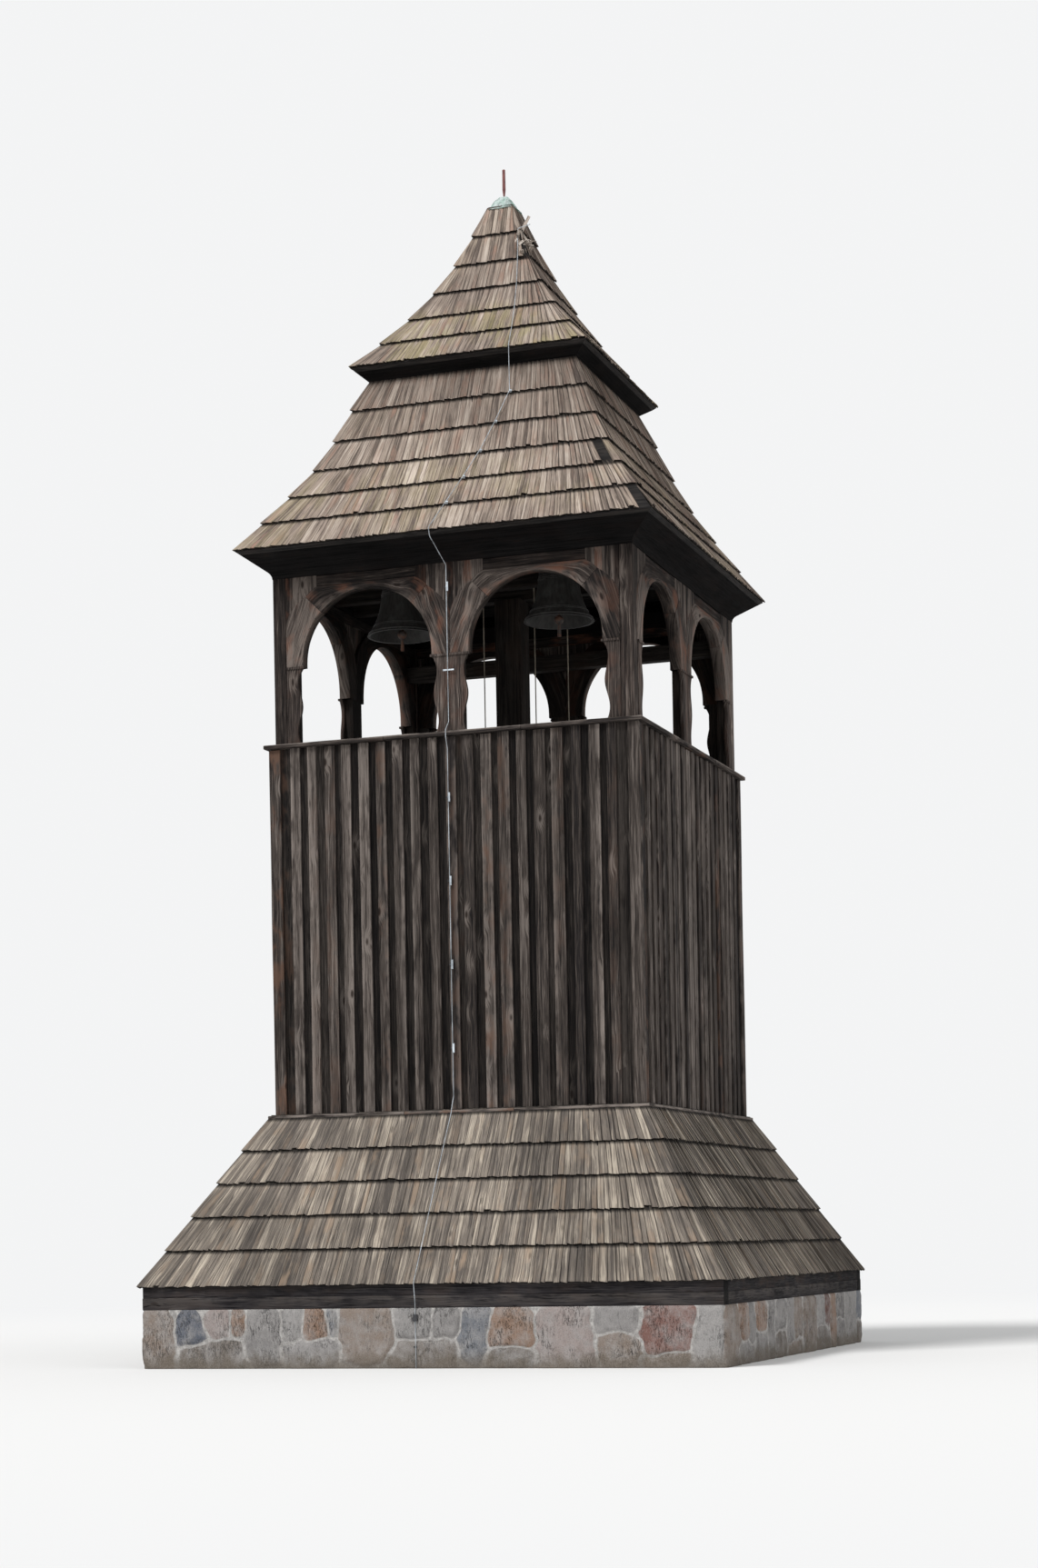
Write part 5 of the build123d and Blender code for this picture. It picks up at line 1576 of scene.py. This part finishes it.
class TOWER_OT_ledges(bpy.types.Operator):
    """Fit the drip board at the foot of the shaft and the ledge under the belfry"""

    bl_idname = "tower.ledges"
    bl_label = "Ledges"

    def execute(self, context):
        wood = wall_wood(context.scene.tower_colours)
        for name, inner, worn in (("lower_ledge", 2.248, (3, 4, 5)), ("upper_ledge", 2.090, (4, 5))):
            bundle = Bundle()
            low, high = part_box(name)
            outline = bar_profile(inner, high[0] - 0.002, low[2] + MARGIN, high[2] - MARGIN, 0.006)
            ring_boards(bundle, outline, worn, (-0.3, 0.35), seeded(name), wobble=0.0012, stations=16)
            place(build_mesh(name + "_boards", bundle), TOWER, wood, [name])
        return {"FINISHED"}


class TOWER_OT_floor(bpy.types.Operator):
    """Lay the planks of the belfry floor"""

    bl_idname = "tower.floor"
    bl_label = "Belfry floor"

    def execute(self, context):
        rng, bundle, count = seeded("floor"), Bundle(), 22
        low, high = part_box("belfry_floor")
        reach, z = high[0] - 0.002, (low[2] + high[2]) / 2 + MARGIN
        edges = np.linspace(-reach, reach, count + 1)
        starts = np.stack([np.full(count, -reach), (edges[:-1] + edges[1:]) / 2, np.full(count, z)], 1)
        plank_half, thick_half = (edges[1] - edges[0]) / 2 - 0.003, (high[2] - low[2]) / 2 - 0.0015
        straight_bars(bundle, starts, starts * [-1, 1, 1], plank_half, thick_half, rng, wobble=0.0008,
                      shade=0.3)
        place(build_mesh("belfry_floor_planks", bundle), TOWER, frame_wood(), ["belfry_floor"])
        return {"FINISHED"}


class TOWER_OT_arcade(bpy.types.Operator):
    """Build the open arcade: posts, carved jamb boards, imposts and arch timbers"""

    bl_idname = "tower.arcade"
    bl_label = "Belfry arcade"

    def execute(self, context):
        a, colours = context.scene.tower_arcade, context.scene.tower_colours
        wood = arch_wood(colours)
        for quarter, side in enumerate(SIDES):
            name = "arch_boards_" + side
            place(arch_side(name, a, seeded(name), quarter), TOWER, wood,
                  ["arch_timbers_" + side])
        rng, bundle = seeded("corner_posts"), Bundle()
        middle, half = (a.half + a.field) / 2, (a.half - a.field) / 2 - 0.003
        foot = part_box("corner_posts")[0][2] + MARGIN
        starts = np.array([(x, y, foot) for x in (-middle, middle) for y in (-middle, middle)])
        straight_bars(bundle, starts, starts * [1, 1, 0] + [0, 0, a.top - MARGIN], half, half, rng,
                      wobble=0.0012, stations=24, up=(0, 1, 0))
        place(build_mesh("corner_post_timbers", bundle), TOWER, wood, ["corner_posts"])
        # The carved boards get painted shade inside the belfry, with an inner amount of 0.75.
        carved = timber("carved boards", colours.arch_dark, colours.arch_mid, colours.arch_pale, colours.red,
                        source="Upright", contrast=0.5, pale_share=0.7, knots=1.0, cracks=0.9, tone=0.55,
                        warm=0.15, specular=0.08, inner=0.75)
        dress(["jamb_boards", "impost_ledges"], carved)
        dress(["arcade_posts"],
              timber("inner posts", *SHADED_FRAME_TINTS, source="Upright", pale_share=0.3, specular=0.06))
        return {"FINISHED"}


class TOWER_OT_main_roof(bpy.types.Operator):
    """Shingle the main roof"""

    bl_idname = "tower.main_roof"
    bl_label = "Main roof"

    def execute(self, context):
        s, wood = context.scene.tower_roofs, roof_wood(context.scene.tower_colours)
        damage = {
            "front": {0: ((0.975, 0.993), ((0.955, 0.022),)), 2: ((0.955, 0.970), ((0.940, 0.030),))},
            "right": {0: ((), ((0.01, 0.022),)), 1: ((), ((0.02, 0.020),))},
        }
        # The top courses get painted shade from the upper eave above, and browner wood.
        shingle_roof("main_roof", "main_roof", main_marks(s), s.shingle_width, wood, s, damage,
                     ages=(0.35, 0.40, 0.35, 0.1, 0.1, 0.0), covers={3: 0.08, 4: 0.20, 5: 0.42})
        return {"FINISHED"}


class TOWER_OT_upper_roof(bpy.types.Operator):
    """Shingle the upper roof"""

    bl_idname = "tower.upper_roof"
    bl_label = "Upper roof"

    def execute(self, context):
        s, wood = context.scene.tower_roofs, roof_wood(context.scene.tower_colours)
        damage = {"front": {4: ((0.97,), ((0.9, 0.02),))}}
        shingle_roof("upper_roof", "upper_roof", upper_marks(s), s.shingle_width, wood, s, damage,
                     ages=(0.75, 0.70, 0.5, 0.35, 0.2, 0.1), lap_last=-0.02)
        split = timber("split shingles", (0.20, 0.165, 0.14), (0.42, 0.36, 0.31), (0.70, 0.63, 0.56),
                       (0.40, 0.27, 0.21))
        place(loose_shingles("loose_shingles", s, seeded("loose")), TOWER, split)
        return {"FINISHED"}


class TOWER_OT_eaves(bpy.types.Operator):
    """Finish the coves and timbers under the two eaves"""

    bl_idname = "tower.eaves"
    bl_label = "Eaves"

    def execute(self, context):
        # Near-black colours: painted shade under the eaves.
        dark = timber("cove boards", (0.003, 0.003, 0.003), (0.007, 0.0065, 0.0065), (0.018, 0.016, 0.015),
                      (0.012, 0.008, 0.007), source="Round", pale_share=0.3, specular=0.03)
        dress(["soffits", "eave_beams"], dark)
        return {"FINISHED"}


class TOWER_OT_bells(bpy.types.Operator):
    """Finish the bells, their yokes and clappers, and turn the bells' mouldings"""

    bl_idname = "tower.bells"
    bl_label = "Bells"

    def execute(self, context):
        bronze = old_metal("dull bronze", (0.027, 0.024, 0.022), (0.038, 0.039, 0.035), 0.42, 30.0, 0.60,
                           0.80, 0.10)
        iron = old_metal("clapper iron", (0.035, 0.028, 0.025), (0.13, 0.055, 0.03), 0.5, 90.0, 0.6, 0.9)
        for side in ("left", "right"):
            dress(["bell_" + side], bronze)
            dress(["clapper_" + side], iron)
            bands = bell_mouldings("bell_bands_" + side, "bell_" + side)
            place(bands, side + "_bell", bronze)
        yokes = timber("yoke timber", *SHADED_FRAME_TINTS, source="Across", pale_share=0.35, specular=0.10)
        dress(["yoke_left", "yoke_right"], yokes)
        return {"FINISHED"}


class TOWER_OT_bell_frame(bpy.types.Operator):
    """Finish the beams that carry the bells, and the bearings"""

    bl_idname = "tower.bell_frame"
    bl_label = "Bell frame"

    def execute(self, context):
        dress(["bell_frame"],
              timber("bell frame timber", *SHADED_FRAME_TINTS, source="Across", pale_share=0.4, specular=0.06))
        dress(["bearing_blocks"],
              old_metal("bearing iron", (0.035, 0.028, 0.025), (0.14, 0.055, 0.03), 0.5, 80.0, 0.6, 0.9))
        return {"FINISHED"}


class TOWER_OT_ropes(bpy.types.Operator):
    """Lay the strands of the bell ropes"""

    bl_idname = "tower.ropes"
    bl_label = "Bell ropes"

    def execute(self, context):
        hemp = old_metal("hemp", (0.15, 0.125, 0.095), (0.27, 0.235, 0.185), 0.5, 160.0, 0.9, 0.95)
        piece = twisted_ropes("bell_rope_strands", ROPE_PLACES, seeded("bell_ropes"))
        place(piece, TOWER, hemp, ["bell_ropes"])
        return {"FINISHED"}


class TOWER_OT_conductor(bpy.types.Operator):
    """Finish the lightning conductor and fit its straps"""

    bl_idname = "tower.conductor"
    bl_label = "Lightning conductor"

    def execute(self, context):
        scene = context.scene
        zinc = old_metal("dull zinc", (0.30, 0.32, 0.34), (0.46, 0.49, 0.52), 0.5, 70.0, 0.45, 0.65, 0.40)
        strap = old_metal("bright strap", (0.38, 0.42, 0.46), (0.58, 0.63, 0.67), 0.5, 40.0, 0.50, 0.70, 0.2)
        dress(["conductor_wire"], zinc)
        dress(["conductor_fittings"],
              old_metal("clamp iron", (0.022, 0.023, 0.026), (0.055, 0.055, 0.058), 0.45, 60.0, 0.6, 0.8))
        straps = conductor_clips("conductor_straps", scene.tower_conductor, scene.tower_roofs)
        place(straps, TOWER, strap)
        return {"FINISHED"}


class TOWER_OT_cap_and_spike(bpy.types.Operator):
    """Fold the verdigris cap and finish the rusty spike"""

    bl_idname = "tower.cap_and_spike"
    bl_label = "Cap and spike"

    def execute(self, context):
        green = old_metal("verdigris", (0.42, 0.49, 0.47), (0.16, 0.32, 0.25), 0.44, 22.0, 0.6, 0.85)
        place(crumpled_cap("cap_sheet", seeded("cap")), TOWER, green, ["roof_cap"])
        dress(["finial_spike"],
              old_metal("rust", (0.27, 0.10, 0.085), (0.15, 0.06, 0.06), 0.5, 60.0, 0.8, 0.95))
        return {"FINISHED"}


# Stage.


def backdrop_rays(tree):
    """One where a ray comes from the camera, a reflection or a clear body, so that these see the backdrop."""
    path = tree.nodes.new("ShaderNodeLightPath").outputs
    seen = sums(tree, "MAXIMUM", path["Is Camera Ray"], path["Is Glossy Ray"])
    return sums(tree, "MAXIMUM", seen, path["Is Transmission Ray"])


def stage_floor(backdrop):
    """A round pale floor, which turns to the backdrop's colour between 9 and 34 m from the tower."""
    n = 96
    ang = np.linspace(0, 2 * np.pi, n, endpoint=False)
    radius = np.array([0.0001, 12.0, 45.0, 400.0])[:, None]
    points = np.stack([radius * np.cos(ang), radius * np.sin(ang), np.zeros((4, n))], -1)
    index = np.arange(4 * n).reshape(4, n)
    inner, outer = index[:-1], index[1:]
    faces = np.stack([inner, outer, np.roll(outer, -1, 1), np.roll(inner, -1, 1)], -1)
    mesh = bpy.data.meshes.new("floor")
    mesh.from_pydata(points.reshape(-1, 3).tolist(), [], faces.reshape(-1, 4).tolist())
    material = bpy.data.materials.new("pale floor")
    material.use_nodes = True
    tree = material.node_tree
    tree.nodes.clear()
    diffuse = put(tree, "BsdfDiffuse", {"Color": (0.78, 0.775, 0.765, 1)})
    glow = put(tree, "Emission", {"Color": (*backdrop, 1), "Strength": 1.0})
    far = put(tree, "VectorMath", {0: own_place(tree)}, operation="LENGTH").outputs["Value"]
    mix = sums(tree, "MULTIPLY", ramp(tree, far, 9.0, 34.0), backdrop_rays(tree))
    both = put(tree, "MixShader", {0: mix, 1: diffuse.outputs[0], 2: glow.outputs[0]})
    tree.links.new(both.outputs[0], put(tree, "OutputMaterial").inputs[0])
    floor = bpy.data.objects.new("floor", mesh)
    mesh.materials.append(material)
    bpy.context.scene.collection.objects.link(floor)


def lamp(name, direction, strength, spread):
    """A far soft lamp that shines from a direction."""
    light = bpy.data.lights.new(name, "SUN")
    light.energy = strength
    light.angle = math.radians(spread)
    item = bpy.data.objects.new(name, light)
    item.rotation_euler = Vector(direction).to_track_quat("Z", "Y").to_euler()
    bpy.context.scene.collection.objects.link(item)


class TOWER_OT_stage(bpy.types.Operator):
    """Set the camera, the pale floor, the surround and the lamps"""

    bl_idname = "tower.stage"
    bl_label = "Stage"

    def execute(self, context):
        scene = context.scene
        s = scene.tower_stage
        camera = bpy.data.cameras.new("camera")
        camera.lens, camera.sensor_width, camera.sensor_fit, camera.shift_y = s.lens, 36.0, "AUTO", s.shift
        camera.clip_end = 2000.0
        item = bpy.data.objects.new("camera", camera)
        forward = Vector((-math.sin(s.yaw), math.cos(s.yaw), 0.0))
        right = Vector((math.cos(s.yaw), math.sin(s.yaw), 0.0))
        up = Vector((0.0, 0.0, 1.0))
        across = right * math.cos(s.roll) + up * math.sin(s.roll)
        upward = up * math.cos(s.roll) - right * math.sin(s.roll)
        turn = Matrix((across, upward, -forward)).transposed().to_4x4()
        item.matrix_world = Matrix.Translation(Vector(s.eye)) @ turn
        scene.collection.objects.link(item)
        scene.camera = item
        scene.view_settings.view_transform = "Standard"
        backdrop = (0.90, 0.905, 0.91)
        stage_floor(backdrop)
        world = bpy.data.worlds.new("surround")
        world.use_nodes = True
        tree = world.node_tree
        tree.nodes.clear()
        light = put(tree, "Background", {"Color": (0.97, 0.985, 1.0, 1), "Strength": s.sky})
        seen = put(tree, "Background", {"Color": (*backdrop, 1), "Strength": 1.0})
        both = put(tree, "MixShader", {0: backdrop_rays(tree), 1: light.outputs[0], 2: seen.outputs[0]})
        tree.links.new(both.outputs[0], put(tree, "OutputWorld").inputs[0])
        scene.world = world
        lamp("key", (-0.45, -0.75, 1.0), s.key, 16.0)
        lamp("fill", (0.9, -0.5, 0.45), s.fill, 60.0)
        return {"FINISHED"}


OPERATORS = (
    TOWER_OT_plinth, TOWER_OT_sills, TOWER_OT_skirt_roof, TOWER_OT_shaft, TOWER_OT_ledges, TOWER_OT_arcade,
    TOWER_OT_floor, TOWER_OT_main_roof, TOWER_OT_upper_roof, TOWER_OT_eaves, TOWER_OT_bells,
    TOWER_OT_bell_frame, TOWER_OT_ropes, TOWER_OT_conductor, TOWER_OT_cap_and_spike, TOWER_OT_stage,
)


class TOWER_PT_panel(bpy.types.Panel):
    """The tower's pieces and their sizes in the sidebar"""

    bl_idname = "TOWER_PT_panel"
    bl_label = "Timber bell tower"
    bl_space_type = "VIEW_3D"
    bl_region_type = "UI"
    bl_category = "Bell Tower"

    def draw(self, context):
        column = self.layout.column(align=True)
        for operator in OPERATORS:
            column.operator(operator.bl_idname)
        for key, kind in SETTINGS.items():
            box = self.layout.box()
            box.label(text=kind.__doc__.split(".")[0])
            for field in kind.__annotations__:
                box.prop(getattr(context.scene, key), field)


def register():
    """Register the settings, the operators and the panel."""
    for kind in (*SETTINGS.values(), *OPERATORS, TOWER_PT_panel):
        bpy.utils.register_class(kind)
    for key, kind in SETTINGS.items():
        setattr(bpy.types.Scene, key, PointerProperty(type=kind))


def unregister():
    """Take away what register added."""
    for key in SETTINGS:
        delattr(bpy.types.Scene, key)
    for kind in reversed((*SETTINGS.values(), *OPERATORS, TOWER_PT_panel)):
        bpy.utils.unregister_class(kind)


def main():
    """Register, and build every piece and the stage in order."""
    register()
    for operator in OPERATORS:
        group, name = operator.bl_idname.split(".")
        getattr(getattr(bpy.ops, group), name)()


if __name__ == "__main__":
    main()
